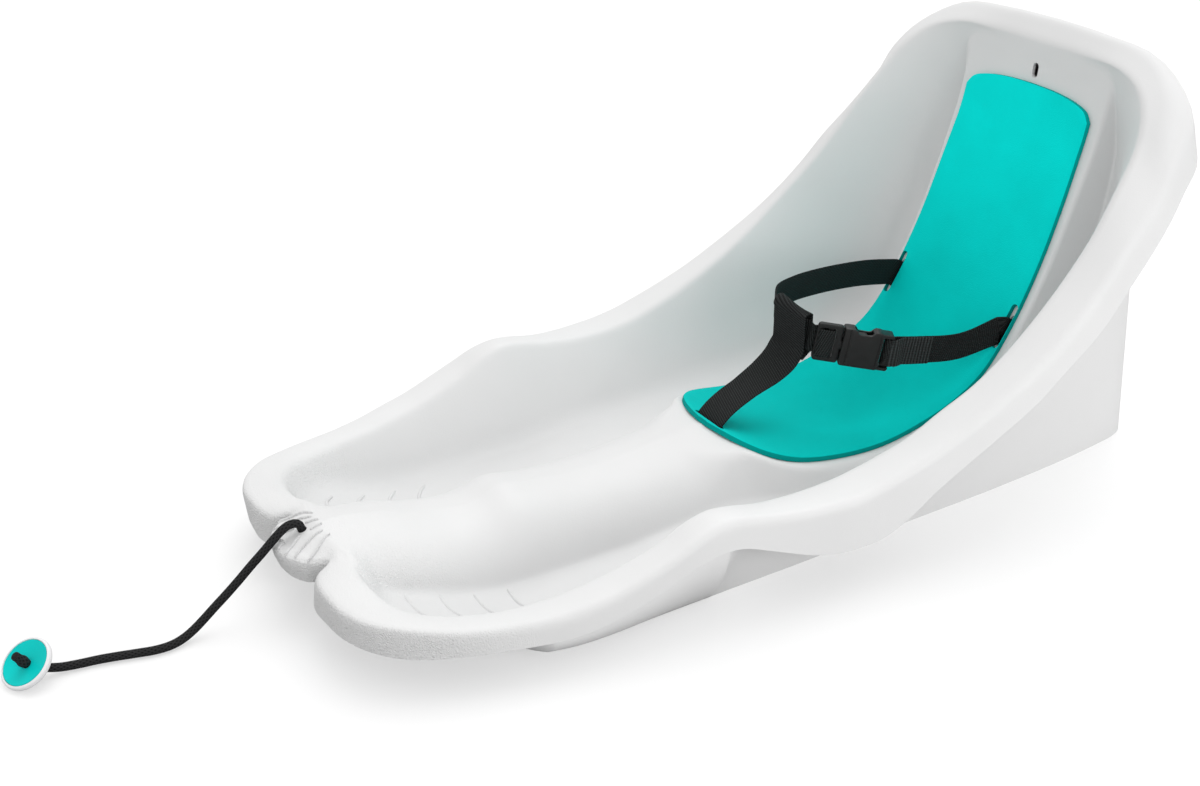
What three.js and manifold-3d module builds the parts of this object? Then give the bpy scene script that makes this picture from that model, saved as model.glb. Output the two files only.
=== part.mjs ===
// A pull sled for a baby: one moulded shell with two leg troughs and a high back,
// a foam seat pad, a three-point lap belt with a side-release buckle, and a pull
// rope with a disc handle. Millimetres, +Z up, nose toward -Y, ground at zero.
import * as THREE from 'three';
import Module from 'manifold-3d';

const wasm = await Module();
wasm.setup();

// Overall size of the moulded shell.
const sledLength = 771;
const sledWidth = 400;
const sledHeight = 354;
// The guide tables count in 400ths of the width, 771sts of the length and 354ths of the height.
const acrossShare = 1 / 400;
const alongShare = 1 / 771;
const upShare = 1 / 354;

// Shell.
const wall = 3.2;
const boxWall = 3.2;
const lipInset = 0.5;
const lipLap = 1.2;
const shoulderRound = 22;
const seatRound = 7;
const innerFootRound = 10;
const outerFootRound = 16;
const rimRound = 6;
const crestRound = 9;
const creaseRound = 8;
const rimCrown = 1.5;
const ribHeight = 1.1;
const ribWidth = 3;
const ridgeHeight = 0.8;
const ridgeWidth = 1.8;
const cutDepth = 60;

// Slots in the shell and the pad.
const slotLength = 36;
const slotWidth = 5;
const slotHalfSpanShare = 72.5;
const slotHalfSpan = slotHalfSpanShare * acrossShare * sledWidth;
const hangSlotWidth = 5;
const hangSlotLength = 13;

// Seat pad.
const padThickness = 4.5;
const slotInset = 4.5;
const padWidth = 2 * (slotHalfSpan + slotInset);
const restGap = 0.35;

// Webbing, buckle and what holds the belt behind the shell.
const webThickness = 1.5;
const lapWidth = 25;
const crotchWidth = 35;
const webGap = 0.4;
const stopDiameter = 5;
const stopOverhang = 6;
const slotRun = 4.5;
const strapDrop = 2.5;
const lapTail = 45;
const plugTail = 10;

const buckleLength = 65;
const buckleHeight = 34;
const buckleThickness = 12;
const plugFrameLength = 22;
const plugFrameThickness = 5;
const barThickness = 5;
const pocketHeight = 26;
const pocketThickness = 6.6;
const pocketDepth = 26;
const windowStart = 8;
const windowLength = 17;
const barWidth = 4;
const webSlot = 5;
const webSlotMargin = 1;
const armLength = 21;
const armHeight = 5.5;
const armThickness = 5.4;
const runningGap = 0.4;
const buckleBevel = 1;

// Rope and handle.
const ropeDiameter = 6.5;
const ropeClearance = 0.3;
const ropeHole = ropeDiameter + 2 * ropeClearance;
const ropeLean = 0.35;
const stubRise = 1.5;
const stubLength = 9;
const stubBulge = 1;
const knotDiameter = 13;
const discDiameter = 40;
const discThickness = 5;
const faceDiameter = 35;
const faceDepth = 2.4;
const faceThickness = 1.6;

const upward = new THREE.Vector3(0, 0, 1);
const acrossAxis = new THREE.Vector3(1, 0, 0);

// Places along the sled.
const place = (x, y, z) => new THREE.Vector3(
  x * acrossShare * sledWidth,
  y * alongShare * sledLength - sledLength / 2,
  z * upShare * sledHeight,
);

// Guide curves of the right half, front to rear, one row for each station.
// The spine runs along the middle: hump, seat and back panel.
const spineShares = [
  [30, 65.5], [32, 66], [35, 66.7], [39, 67], [43, 67], [48, 67], [54, 66.8], [61, 66], [69, 64.5],
  [78, 62.5], [88, 60], [98, 57], [116, 51], [146, 46], [165, 47.5], [188, 54.3], [212, 50.3],
  [236, 47.3], [254, 46.5], [272, 46.8], [290, 47], [315, 49.5], [345, 53], [366, 55.2], [379, 56],
  [386, 53.3], [402, 47.6], [430, 40], [460, 35], [490, 32.5], [520, 33.5], [552, 39.8], [590, 52.5],
  [622, 73], [650, 111.5], [676, 164], [697, 222], [711, 266], [716, 291], [718, 303], [718.5, 308],
  [718.8, 311], [719, 313],
];
// Shoulder of the hump, then the edge of the seat platform and of the back panel.
const edgeShares = [
  [0, 25, 64.6], [4, 28.5, 65.4], [10, 33, 66], [18, 38, 66], [26, 42, 65.5], [32, 47, 64.5],
  [37, 53, 63], [40, 60, 61.5], [41, 68, 59.5], [42, 77, 57.5], [42, 87, 55], [42, 98, 52],
  [42, 116, 46.5], [41, 146, 41.5], [41, 165, 43], [42, 188, 48], [43, 212, 45], [43, 236, 43],
  [43, 254, 42.5], [43, 272, 43], [44, 290, 43.5], [45, 315, 46], [46, 345, 49], [48, 366, 50.5],
  [52, 381, 50.5], [62, 392, 51], [75, 410, 44.7], [83.5, 434, 39.2], [84, 460, 35], [84, 490, 32.5],
  [84, 520, 33.5], [84, 552, 39.8], [84, 590, 52.5], [84, 622, 73], [84, 650, 111.5], [84, 676, 164],
  [84, 697, 222], [84, 711, 266], [84, 716, 291], [82, 718.5, 316], [64, 718.8, 324],
  [32, 719, 322], [0, 719.1, 319],
];
// Foot of the hump, then the inner side of the groove beside the seat.
const innerFootShares = [
  [0, 20, 63], [7, 24, 64], [16, 29, 64.5], [25, 36.5, 64.5], [36, 40, 62], [46, 45, 59],
  [57, 52, 47], [60, 59, 34], [61, 67, 28], [62, 76, 24], [62, 87, 20.5], [62, 98, 17],
  [62, 116, 11.3], [62, 146, 4.9], [62, 165, 3.1], [62, 188, 2.9], [62, 212, 2.9], [62, 236, 3.1],
  [62, 254, 3.4], [63, 272, 4.4], [63, 290, 6.7], [64, 315, 10], [66, 345, 13.3], [68, 366, 14.6],
  [72, 381, 15.4], [76, 396, 16.3], [86, 413, 17], [92, 436, 17.6], [93, 461, 17.8], [93, 491, 18.3],
  [93, 522, 20.5], [93, 557, 25.5], [93, 598, 37], [93, 636, 57], [93, 670, 96], [92, 696, 151],
  [91, 714, 213], [90, 722, 262], [89, 722, 291], [87, 719.6, 319], [73, 719.2, 329],
  [37, 719.2, 327], [0, 719.2, 324],
];
// Foot of the side wall, then the outer side of the groove.
const outerFootShares = [
  [0, 15, 60.8], [10, 18, 61.5], [21, 25, 61.8], [30, 34.5, 62.5], [42, 37.5, 59.5], [52, 42, 58],
  [66, 46, 47], [80, 51, 37], [96, 60, 32], [107, 72, 26], [114, 86, 21.5], [119, 99, 17],
  [124, 116, 11.3], [129, 145, 4.9], [131, 165, 3.1], [132, 188, 2.9], [132.5, 212, 2.9],
  [133, 236, 3.1], [133, 254, 3.4], [133, 272, 4.4], [133, 290, 6.7], [133, 315, 10], [132, 345, 13.3],
  [131, 366, 14.6], [130, 381, 15.6], [130, 394, 17], [129.5, 412, 18.8], [129, 436, 21],
  [128, 461, 24], [126.5, 494, 28], [124.5, 527, 32], [122, 560, 37], [118, 606, 51],
  [115.5, 641, 68], [114, 672, 101], [112, 695, 158], [108, 712, 217], [103, 718, 266],
  [98, 719, 295], [93, 718.5, 322], [81, 718.6, 332], [42, 719.3, 331], [0, 719.3, 329],
];
// Inner edge of the rim.
const rimShares = [
  [0, 9, 58], [13, 12, 58.5], [26, 19, 58], [35.5, 31, 58], [47, 32, 58.5], [57, 37, 58.5],
  [69, 38, 58], [87, 41, 55.5], [106, 46.5, 52], [120, 57, 50], [129, 72, 48], [136, 91, 46],
  [142.8, 114, 45.6], [147.6, 144.5, 47.2], [150.5, 165, 50.3], [153, 188, 55], [155.7, 212, 62.6],
  [158, 236, 72], [159, 254, 82.3], [160.2, 272, 88], [161, 290, 86.8], [161.2, 315, 81.6],
  [160.1, 345, 78.8], [159.8, 366, 78.5], [159.9, 381, 79.4], [160.2, 394, 80.8], [160.7, 413, 84.4],
  [162.5, 435, 90.8], [164, 459, 98.8], [164.4, 489, 113.4], [166.4, 520, 129.5],
  [167.2, 548, 148.8], [167, 568, 165.5], [166, 588, 183], [164.3, 607, 200.5], [162.3, 631, 226],
  [158.7, 654, 256], [153, 678, 286], [143.5, 693.5, 307.5], [126.5, 706.5, 324.7],
  [99, 714.3, 335], [51, 719.2, 338], [0, 719.6, 338],
];
// Outer crease of the rim, where it turns down.
const creaseShares = [
  [0, -1.2, 54], [17, 3, 54], [31, 13, 53], [38, 27.5, 51], [45, 16, 52.5], [59, 9.5, 55.5],
  [72, 8, 56.5], [97, 10, 55], [119, 19.5, 53.8], [137, 37, 52.7], [151.8, 62.5, 49.3],
  [161.8, 88.5, 47.2], [169, 115, 46.2], [176.8, 144, 47.8], [180.8, 165, 51.8], [183.2, 188, 57],
  [185.4, 212, 65.2], [186.3, 236, 74.6], [185.9, 254, 82], [185.1, 272, 86.2], [184.7, 290, 85.6],
  [186, 315, 80.9], [190.5, 345, 78.3], [193.3, 366, 78.4], [195.4, 381, 78.6], [196.3, 393, 79.8],
  [196.3, 411, 83.5], [196.9, 437, 90.8], [197, 460, 98.4], [197, 490, 109.8], [197, 521, 124.5],
  [196.4, 554, 142], [195.6, 577, 156], [194, 600, 173.5], [192, 620, 192.5], [189.5, 643, 217],
  [186, 665, 236], [181, 688, 258], [175, 706, 284], [164, 729, 312], [122, 745, 337],
  [57, 748, 345], [0, 748.5, 347],
];
// Lower edge of the turned-down rim.
const lipShares = [
  [0, 5, 37], [16, 7.5, 37], [29, 15, 37], [36, 27, 37], [41, 14.5, 31], [56, 9, 30],
  [72, 9.5, 29.5], [97, 13, 29], [120, 23, 28.5], [139, 39, 28.5], [153.5, 63, 28.5],
  [163.5, 89, 28.5], [171, 116, 28.5], [178.5, 145, 29.5], [182.5, 165, 32.5], [184.5, 188, 37.5],
  [186.3, 212, 45.5], [187, 236, 54.5], [187, 254, 61], [187, 272, 64], [187, 290, 62.5],
  [188.6, 315, 53.5], [192.5, 345, 42.5], [194.8, 366, 37], [196.6, 381, 36], [197, 393, 36],
  [197.3, 411, 37], [198.4, 434, 46.5], [199.8, 460, 65], [200, 488, 80], [200, 524, 98],
  [199.5, 560, 117], [198, 590, 138], [196, 615, 154], [194.5, 632, 168], [192, 652, 189],
  [189, 672, 208], [185, 693, 229], [177, 716, 251], [164, 744, 274], [121, 749, 290],
  [58, 751, 298], [0, 751.5, 300],
];
// Crest of the rear rim; ahead of it the crest is the crowned middle of the rim.
const crestShares = [
  [163.5, 699, 301], [150, 716, 324], [112, 734, 348.3], [54, 735, 355], [0, 735, 356.4],
];
// Stations where the seat platform begins, and spans that take one more line.
const seatStation = 25;
const fineSpans = [4, 5, 6, 7, 8, 37, 38, 39, 40];

// Foot of the outer side wall on the ground: from inside the leg's wall with its lean and reach,
// along the legs with the station of the lip that it rises to, then round the box. Ahead of the
// place in tipRiseShares its foot rises toward the tip by that much for each millimetre.
const tipFootShares = [[121, 106, 0.53, 40], [129, 122, 0.6, 42]];
const tipRiseShares = [150, 0.26];
const legFootShares = [
  [138, 139, 12.8], [145.4, 159, 13.7], [151.2, 190, 15.1], [151.7, 224, 16.5], [150.6, 254, 18],
  [149.9, 278, 19.3],
];
const boxFootShares = [
  [149.3, 297, 0.42, 84], [148.6, 316, 0.22, 86], [148.1, 336, 0.08, 90], [146.9, 375, 0, 100],
  [145, 425, -0.03, 130], [142.2, 485, -0.05, 190], [138.9, 571, -0.06, 270], [136, 619, -0.06, 310],
  [132, 671, -0.06, 340], [126, 720, -0.06, 346], [121, 748, -0.065, 347], [113, 763, -0.07, 347],
  [100, 770, -0.07, 347], [60, 771, -0.07, 347],
];

// Anti-slip ribs of one trough, counted from the front, and the fine ridges that fan out
// over one half of the nose: each is a run of places, across and along.
const ribShares = [
  [[64, 74.5], [90, 76], [103, 86]],
  [[65, 102], [90, 102.5], [108, 116]],
  [[66, 129.5], [91, 130.5], [112, 145]],
  [[66, 158], [91, 157.5], [112, 172]],
];
const ridgeShares = [
  [[15.2, 4], [6, 20]],
  [[20, 11.5], [10.8, 35.9]],
  [[28.5, 19], [17, 38.9]],
];

// Belt route through the lap, right end to left end, at the middle of the webbing.
const rightRouteShares = [
  [-73, 646, 112], [-68, 600, 122], [-62, 550, 128], [-52, 508, 132], [-38, 480, 134],
  [-18, 467.5, 132], [0, 470, 128], [15, 474.5, 122.5],
];
const leftRouteShares = [[53, 534, 108.5], [58, 560, 105.5], [65, 600, 105], [73, 646, 107]];
// Ends of the closed buckle at its middle: the plug's, then the socket's.
const plugEndShares = [24.5, 474.8, 120.8];
const socketEndShares = [57, 530.2, 110];
// Middle line of the crotch strap, from its slot up to the loop round the belt.
const crotchRouteShares = [
  [386, 50], [387, 56.5], [393.5, 63.5], [405, 71], [425, 80], [445, 89], [458, 98], [464, 106],
];
const loopTopShares = [0, 470, 149];

// Middles of the slots, the rope's exit at the nose, and where the pad's outline turns straight.
const beltSlotShares = [0, 646.5, 112.5];
const crotchSlotShares = [0, 387, 53];
const hangSlotShares = [0, 719, 321];
const noseExitShares = [0, 23.5, 64.2];
const padStraightShares = [0, 440, 0];

function solidFrom(points, faces) {
  const vertProperties = new Float32Array(points.length * 3);
  points.forEach((p, i) => vertProperties.set([p.x, p.y, p.z], i * 3));
  const mesh = new wasm.Mesh({ numProp: 3, vertProperties, triVerts: new Uint32Array(faces) });
  mesh.merge();
  return new wasm.Manifold(mesh);
}

// The same, whichever way round its faces were given.
function closedFrom(points, faces) {
  const solid = solidFrom(points, faces);
  if (solid.volume() > 0) return solid;
  const turned = [];
  for (let i = 0; i < faces.length; i += 3) turned.push(faces[i], faces[i + 2], faces[i + 1]);
  return solidFrom(points, turned);
}

function geometryFrom(solid) {
  const mesh = solid.getMesh();
  const geometry = new THREE.BufferGeometry();
  geometry.setAttribute('position', new THREE.BufferAttribute(new Float32Array(mesh.vertProperties), 3));
  geometry.setIndex(new THREE.BufferAttribute(new Uint32Array(mesh.triVerts), 1));
  geometry.computeVertexNormals();
  return geometry;
}

function solidOf(geometry, matrix) {
  const source = geometry.index ? geometry.toNonIndexed() : geometry;
  const position = source.attributes.position;
  const points = [];
  const faces = [];
  const known = new Map();
  for (let i = 0; i < position.count; i += 1) {
    const p = new THREE.Vector3().fromBufferAttribute(position, i);
    if (matrix) p.applyMatrix4(matrix);
    const key = `${p.x.toFixed(4)},${p.y.toFixed(4)},${p.z.toFixed(4)}`;
    if (!known.has(key)) {
      known.set(key, points.length);
      points.push(p);
    }
    faces.push(known.get(key));
  }
  const kept = [];
  for (let i = 0; i < faces.length; i += 3) {
    const [a, b, c] = faces.slice(i, i + 3);
    if (a !== b && b !== c && a !== c) kept.push(a, b, c);
  }
  return solidFrom(points, kept);
}

function boxSolid(sizeX, sizeY, sizeZ, matrix) {
  return solidOf(new THREE.BoxGeometry(sizeX, sizeY, sizeZ), matrix);
}

// A frame from its origin and two of its directions; the third follows.
function frameAt(origin, xAxis, zHint) {
  const x = xAxis.clone().normalize();
  const y = new THREE.Vector3().crossVectors(zHint, x).normalize();
  const z = new THREE.Vector3().crossVectors(x, y);
  return new THREE.Matrix4().makeBasis(x, y, z).setPosition(origin);
}

// A frame at a centre that turns one direction into another.
function turnedTo(centre, from, to) {
  const turn = new THREE.Quaternion().setFromUnitVectors(from, to);
  return new THREE.Matrix4().compose(centre, turn, new THREE.Vector3(1, 1, 1));
}

function curveThrough(points) {
  return new THREE.CatmullRomCurve3(points, false, 'centripetal');
}

// The loft: one line of points for each station, from the spine out to the lip.
const spineCurve = curveThrough(spineShares.map(([y, z]) => place(0, y, z)));
const crestPoints = rimShares.map((row, i) => {
  const fixed = i - (rimShares.length - crestShares.length);
  if (fixed >= 0) return place(...crestShares[fixed]);
  return place(...row).lerp(place(...creaseShares[i]), 1 / 2).add(new THREE.Vector3(0, 0, rimCrown));
});
const guideCurves = [
  spineCurve,
  curveThrough(edgeShares.map((row) => place(...row))),
  curveThrough(innerFootShares.map((row) => place(...row))),
  curveThrough(outerFootShares.map((row) => place(...row))),
  curveThrough(rimShares.map((row) => place(...row))),
  curveThrough(crestPoints),
  curveThrough(creaseShares.map((row) => place(...row))),
  curveThrough(lipShares.map((row) => place(...row))),
];
const lastStation = spineShares.length - 1;
const cornerSteps = [1, 3, 2, 3, 2, 3, 3, 1];
const cornerTrimShare = 0.42;

function cornerRounds(station) {
  const edge = station < seatStation - 1 / 2 ? shoulderRound : seatRound;
  return [0, edge, innerFootRound, outerFootRound, rimRound, crestRound, creaseRound, 0];
}

function stationLine(station) {
  const t = Math.min(station / lastStation, 1);
  const corners = guideCurves.map((curve) => curve.getPoint(t));
  if (station === 0 || station === lastStation) corners.forEach((corner) => corner.setX(0));
  corners[0].setX(0);
  const rounds = cornerRounds(station);
  const line = [];
  corners.forEach((corner, i) => {
    if (cornerSteps[i] === 1) {
      line.push(corner);
      return;
    }
    const back = corners[i - 1].clone().sub(corner);
    const ahead = corners[i + 1].clone().sub(corner);
    const from = back.clone().setLength(Math.min(rounds[i], back.length() * cornerTrimShare)).add(corner);
    const to = ahead.clone().setLength(Math.min(rounds[i], ahead.length() * cornerTrimShare)).add(corner);
    const arc = new THREE.QuadraticBezierCurve3(from, corner, to);
    for (let k = 0; k < cornerSteps[i]; k += 1) line.push(arc.getPoint(k / (cornerSteps[i] - 1)));
  });
  return line;
}

const stations = [];
for (let i = 0; i < lastStation; i += 1) {
  stations.push(i);
  if (fineSpans.includes(i)) stations.push(i + 1 / 2);
}
stations.push(lastStation);
const lines = stations.map(stationLine);
const columns = lines[0].length;

// Points, faces and outward directions of the upper skin, both halves joined at the middle.
const skin = { points: [], faces: [], normals: [], border: [] };
const skinIds = new Map();
function skinId(side, row, column) {
  const middle = column === 0 || row === 0 || row === lines.length - 1;
  const key = `${middle ? 0 : side},${row},${column}`;
  if (!skinIds.has(key)) {
    const p = lines[row][column];
    skinIds.set(key, skin.points.length);
    skin.points.push(new THREE.Vector3(middle ? 0 : side * p.x, p.y, p.z));
  }
  return skinIds.get(key);
}
for (const side of [1, -1]) {
  for (let row = 0; row < lines.length - 1; row += 1) {
    for (let column = 0; column < columns - 1; column += 1) {
      const a = skinId(side, row, column);
      const b = skinId(side, row, column + 1);
      const c = skinId(side, row + 1, column + 1);
      const d = skinId(side, row + 1, column);
      const quad = side > 0 ? [a, b, c, a, c, d] : [a, c, b, a, d, c];
      for (let k = 0; k < quad.length; k += 3) {
        const [p, q, r] = quad.slice(k, k + 3);
        if (p !== q && q !== r && p !== r) skin.faces.push(p, q, r);
      }
    }
  }
}
for (let row = 0; row < lines.length; row += 1) skin.border.push(skinId(1, row, columns - 1));
for (let row = lines.length - 2; row > 0; row -= 1) skin.border.push(skinId(-1, row, columns - 1));
skin.normals = skin.points.map(() => new THREE.Vector3());
for (let i = 0; i < skin.faces.length; i += 3) {
  const [a, b, c] = skin.faces.slice(i, i + 3).map((id) => skin.points[id]);
  const normal = new THREE.Vector3().crossVectors(b.clone().sub(a), c.clone().sub(a));
  skin.faces.slice(i, i + 3).forEach((id) => skin.normals[id].add(normal));
}
skin.normals.forEach((normal, i) => {
  if (skin.points[i].x === 0) normal.setX(0);
  normal.normalize();
});

function skinOffset(distance) {
  return skin.points.map((p, i) => p.clone().addScaledVector(skin.normals[i], distance));
}

// A closed body between two copies of the skin's grid.
function between(upper, lower) {
  const count = upper.length;
  const faces = [...skin.faces];
  for (let i = 0; i < skin.faces.length; i += 3) {
    faces.push(skin.faces[i] + count, skin.faces[i + 2] + count, skin.faces[i + 1] + count);
  }
  skin.border.forEach((id, i) => {
    const next = skin.border[(i + 1) % skin.border.length];
    faces.push(id, id + count, next + count, id, next + count, next);
  });
  return solidFrom([...upper, ...lower], faces);
}

// Everything over the skin, up past the rim, held clear of the lip's own lower face.
function overSkin(distance) {
  const lower = skinOffset(distance).map((p) => p.setZ(p.z + lipInset));
  return between(lower.map((p) => new THREE.Vector3(p.x, p.y, 2 * sledHeight)), lower);
}

// Everything under the skin, down past the ground.
function underSkin(distance) {
  const upper = skinOffset(distance);
  return between(upper, upper.map((p) => new THREE.Vector3(p.x, p.y, -cutDepth)));
}

// The wall of the outer box, from the ground up under the rim.
function boxWallSolid() {
  const lipCurve = guideCurves[guideCurves.length - 1];
  const legs = legFootShares.map(([x, y, station]) => {
    const at = place(x, y, 0);
    const lip = lipCurve.getPoint(station / lastStation);
    const reach = lip.z + lipLap;
    return { at, lean: (lip.x - lipInset - at.x) / reach, reach };
  });
  const leaning = ([x, y, lean, reach]) => ({ at: place(x, y, 0), lean, reach: place(0, 0, reach).z });
  const tips = tipFootShares.map(leaning);
  const box = boxFootShares.map(leaning);
  const half = [...tips, ...legs, ...box];
  const mirrored = half.slice().reverse().map(({ at, lean, reach }) => (
    { at: new THREE.Vector3(-at.x, at.y, at.z), lean, reach }));
  const all = [...half, ...mirrored];
  const points = [];
  all.forEach(({ at, lean, reach }, i) => {
    const before = all[Math.max(i - 1, 0)].at;
    const after = all[Math.min(i + 1, all.length - 1)].at;
    const out = new THREE.Vector3(after.y - before.y, before.x - after.x, 0).normalize();
    const foot = at.clone().addScaledVector(out, -lean * wall).setZ(-wall);
    const top = at.clone().addScaledVector(out, lean * reach).setZ(reach);
    points.push(foot, foot.clone().addScaledVector(out, -boxWall));
    points.push(top.clone().addScaledVector(out, -boxWall), top);
  });
  const faces = [];
  const ring = 4;
  for (let i = 0; i < all.length - 1; i += 1) {
    for (let k = 0; k < ring; k += 1) {
      const a = i * ring + k;
      const b = i * ring + ((k + 1) % ring);
      faces.push(a, b, b + ring, a, b + ring, a + ring);
    }
  }
  const end = (all.length - 1) * ring;
  faces.push(0, 2, 1, 0, 3, 2, end, end + 1, end + 2, end, end + 2, end + 3);
  const [tipEnd, tipSlope] = tipRiseShares;
  const tipFrame = frameAt(place(0, tipEnd, 0), acrossAxis, new THREE.Vector3(0, tipSlope, 1));
  const under = boxSolid(2 * sledWidth, sledLength, 2 * cutDepth,
    tipFrame.multiply(new THREE.Matrix4().makeTranslation(0, -sledLength / 2, -cutDepth)));
  return closedFrom(points, faces).subtract(under);
}

// Spine of the seat as the drawn shell has it: straight from line to line.
const seatLine = lines.map((line) => line[0]);

// Where the spine has a given height or a given place along the sled, and its direction there.
function seatAtHeight(z) {
  for (let i = lines.length - 1; i > 0; i -= 1) {
    const low = seatLine[i - 1];
    const high = seatLine[i];
    if (low.z <= z && z <= high.z) {
      const at = low.clone().lerp(high, (z - low.z) / (high.z - low.z));
      return { at, along: high.clone().sub(low).normalize() };
    }
  }
  return { at: seatLine[lines.length - 1].clone(), along: new THREE.Vector3(0, 0, 1) };
}

// Frame of a belt slot: x through the shell, z along the slot, seen from the seat.
const slotCentre = place(...beltSlotShares);
function beltSlotFrame(side) {
  const { at, along } = seatAtHeight(slotCentre.z);
  const out = new THREE.Vector3().crossVectors(acrossAxis, along).normalize();
  const origin = at.clone().setX(side * slotHalfSpan);
  return frameAt(origin, out, along);
}

// Frame of a strap in its slot: the webbing hangs toward the slot's lower end.
function strapFrame(side) {
  return beltSlotFrame(side).multiply(new THREE.Matrix4().makeTranslation(0, 0, -strapDrop));
}
const crotchCentre = place(...crotchSlotShares);

function slotCutter(matrix, length, width, depth) {
  return boxSolid(depth, width, length, matrix);
}

const slotDepth = 8 * wall;
const crotchFrame = frameAt(crotchCentre, upward, acrossAxis);
const hangFrame = frameAt(place(...hangSlotShares), new THREE.Vector3(0, -1, 0), upward);
const cutters = [
  slotCutter(beltSlotFrame(1), slotLength, slotWidth, slotDepth),
  slotCutter(beltSlotFrame(-1), slotLength, slotWidth, slotDepth),
  slotCutter(crotchFrame, crotchWidth + 3 * webThickness, slotWidth, slotDepth),
  slotCutter(hangFrame, hangSlotLength, hangSlotWidth, slotDepth),
];
const holeSides = 20;
const noseExit = place(...noseExitShares);
const ropeAxis = new THREE.Vector3(0, -ropeLean, 1).normalize();
const holeSolid = solidOf(
  new THREE.CylinderGeometry(ropeHole / 2, ropeHole / 2, slotDepth, holeSides),
  turnedTo(noseExit, new THREE.Vector3(0, 1, 0), ropeAxis),
);

// Raised lines on the shell, both halves: each run of places becomes bars cut to one height.
function withRaisedLines(shell, runs, height, width) {
  const zone = underSkin(height).subtract(underSkin(-wall / 2));
  let raised = shell;
  for (const side of [1, -1]) {
    for (const run of runs) {
      const corners = run.map(([x, y]) => place(side * x, y, 0));
      corners.slice(1).forEach((to, i) => {
        const along = to.clone().sub(corners[i]);
        const middle = to.clone().lerp(corners[i], 1 / 2);
        const bar = boxSolid(along.length() + width, width, 2 * sledHeight, frameAt(middle, along, upward));
        raised = raised.add(bar.intersect(zone));
      });
    }
  }
  return raised;
}

function shellSolid() {
  let shell = between(skin.points, skinOffset(-wall));
  shell = shell.add(boxWallSolid().subtract(overSkin(-wall / 2)));
  shell = withRaisedLines(shell, ribShares, ribHeight, ribWidth);
  shell = withRaisedLines(shell, ridgeShares, ridgeHeight, ridgeWidth);
  for (const cutter of cutters) shell = shell.subtract(cutter);
  shell = shell.subtract(holeSolid);
  const ground = boxSolid(2 * sledWidth, 2 * sledLength, 2 * cutDepth,
    new THREE.Matrix4().makeTranslation(0, 0, -cutDepth));
  return shell.subtract(ground);
}

// Seat pad: a sheet that follows the spine, with the outline of the photograph.
const padOutlineShares = [
  [379, 6], [383, 27], [389, 43], [398, 58], [411, 68.5], [427, 74], [447, 76], [490, 77],
  [536, 77], [600, 77], [657, 76.5], [696, 75], [708, 73.5],
];
const padTopShares = [[284, 73], [291, 67], [296, 52], [299, 30], [300, 6]];

function padSolid() {
  const rows = [];
  const halfShare = 1 / 77;
  const widthOf = (half) => half * halfShare * padWidth / 2;
  const frontRows = padOutlineShares.map(([y, half]) => ({ y: place(0, y, 0).y, half: widthOf(half) }));
  const limit = place(0, 0, padTopShares[0][0]).z;
  const addRow = (at, along, half) => rows.push({ at, along, half });
  const halfAt = (y) => {
    for (let i = 1; i < frontRows.length; i += 1) {
      const low = frontRows[i - 1];
      const high = frontRows[i];
      const share = Math.max((y - low.y) / (high.y - low.y), 0);
      if (y <= high.y) return low.half + (high.half - low.half) * share;
    }
    return frontRows[frontRows.length - 1].half;
  };
  const onLine = (y) => {
    for (let i = 1; i < seatLine.length; i += 1) {
      const low = seatLine[i - 1];
      const high = seatLine[i];
      if (y <= high.y) {
        const at = low.clone().lerp(high, (y - low.y) / (high.y - low.y));
        return { at, along: high.clone().sub(low).normalize() };
      }
    }
    return null;
  };
  const straight = place(...padStraightShares).y;
  const frontStops = frontRows.filter((row) => row.y < straight).map((row) => row.y);
  const lineStops = seatLine.filter((p) => p.y > straight && p.z < limit).map((p) => p.y);
  for (const y of [...frontStops, ...lineStops]) {
    const { at, along } = onLine(y);
    addRow(at, along, halfAt(y));
  }
  for (const [z, half] of padTopShares) {
    const { at, along } = seatAtHeight(place(0, 0, z).z);
    addRow(at, along, widthOf(half));
  }
  // Directions at the joints of the line are the mean of both sides.
  const points = [];
  rows.forEach((row, i) => {
    const before = rows[Math.max(i - 1, 0)].at;
    const after = rows[Math.min(i + 1, rows.length - 1)].at;
    const out = new THREE.Vector3().crossVectors(acrossAxis, after.clone().sub(before)).normalize();
    const low = row.at.clone().addScaledVector(out, -wall);
    const high = row.at.clone().addScaledVector(out, padThickness + restGap);
    points.push(low.clone().setX(row.half), low.clone().setX(-row.half));
    points.push(high.clone().setX(-row.half), high.clone().setX(row.half));
  });
  const faces = [];
  const ring = 4;
  for (let i = 0; i < rows.length - 1; i += 1) {
    for (let k = 0; k < ring; k += 1) {
      const a = i * ring + k;
      const b = i * ring + ((k + 1) % ring);
      faces.push(a, b, b + ring, a, b + ring, a + ring);
    }
  }
  const end = (rows.length - 1) * ring;
  faces.push(0, 2, 1, 0, 3, 2, end, end + 1, end + 2, end, end + 2, end + 3);
  let pad = closedFrom(points, faces).subtract(underSkin(restGap));
  for (const cutter of cutters.slice(0, 3)) pad = pad.subtract(cutter);
  return pad;
}

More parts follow.
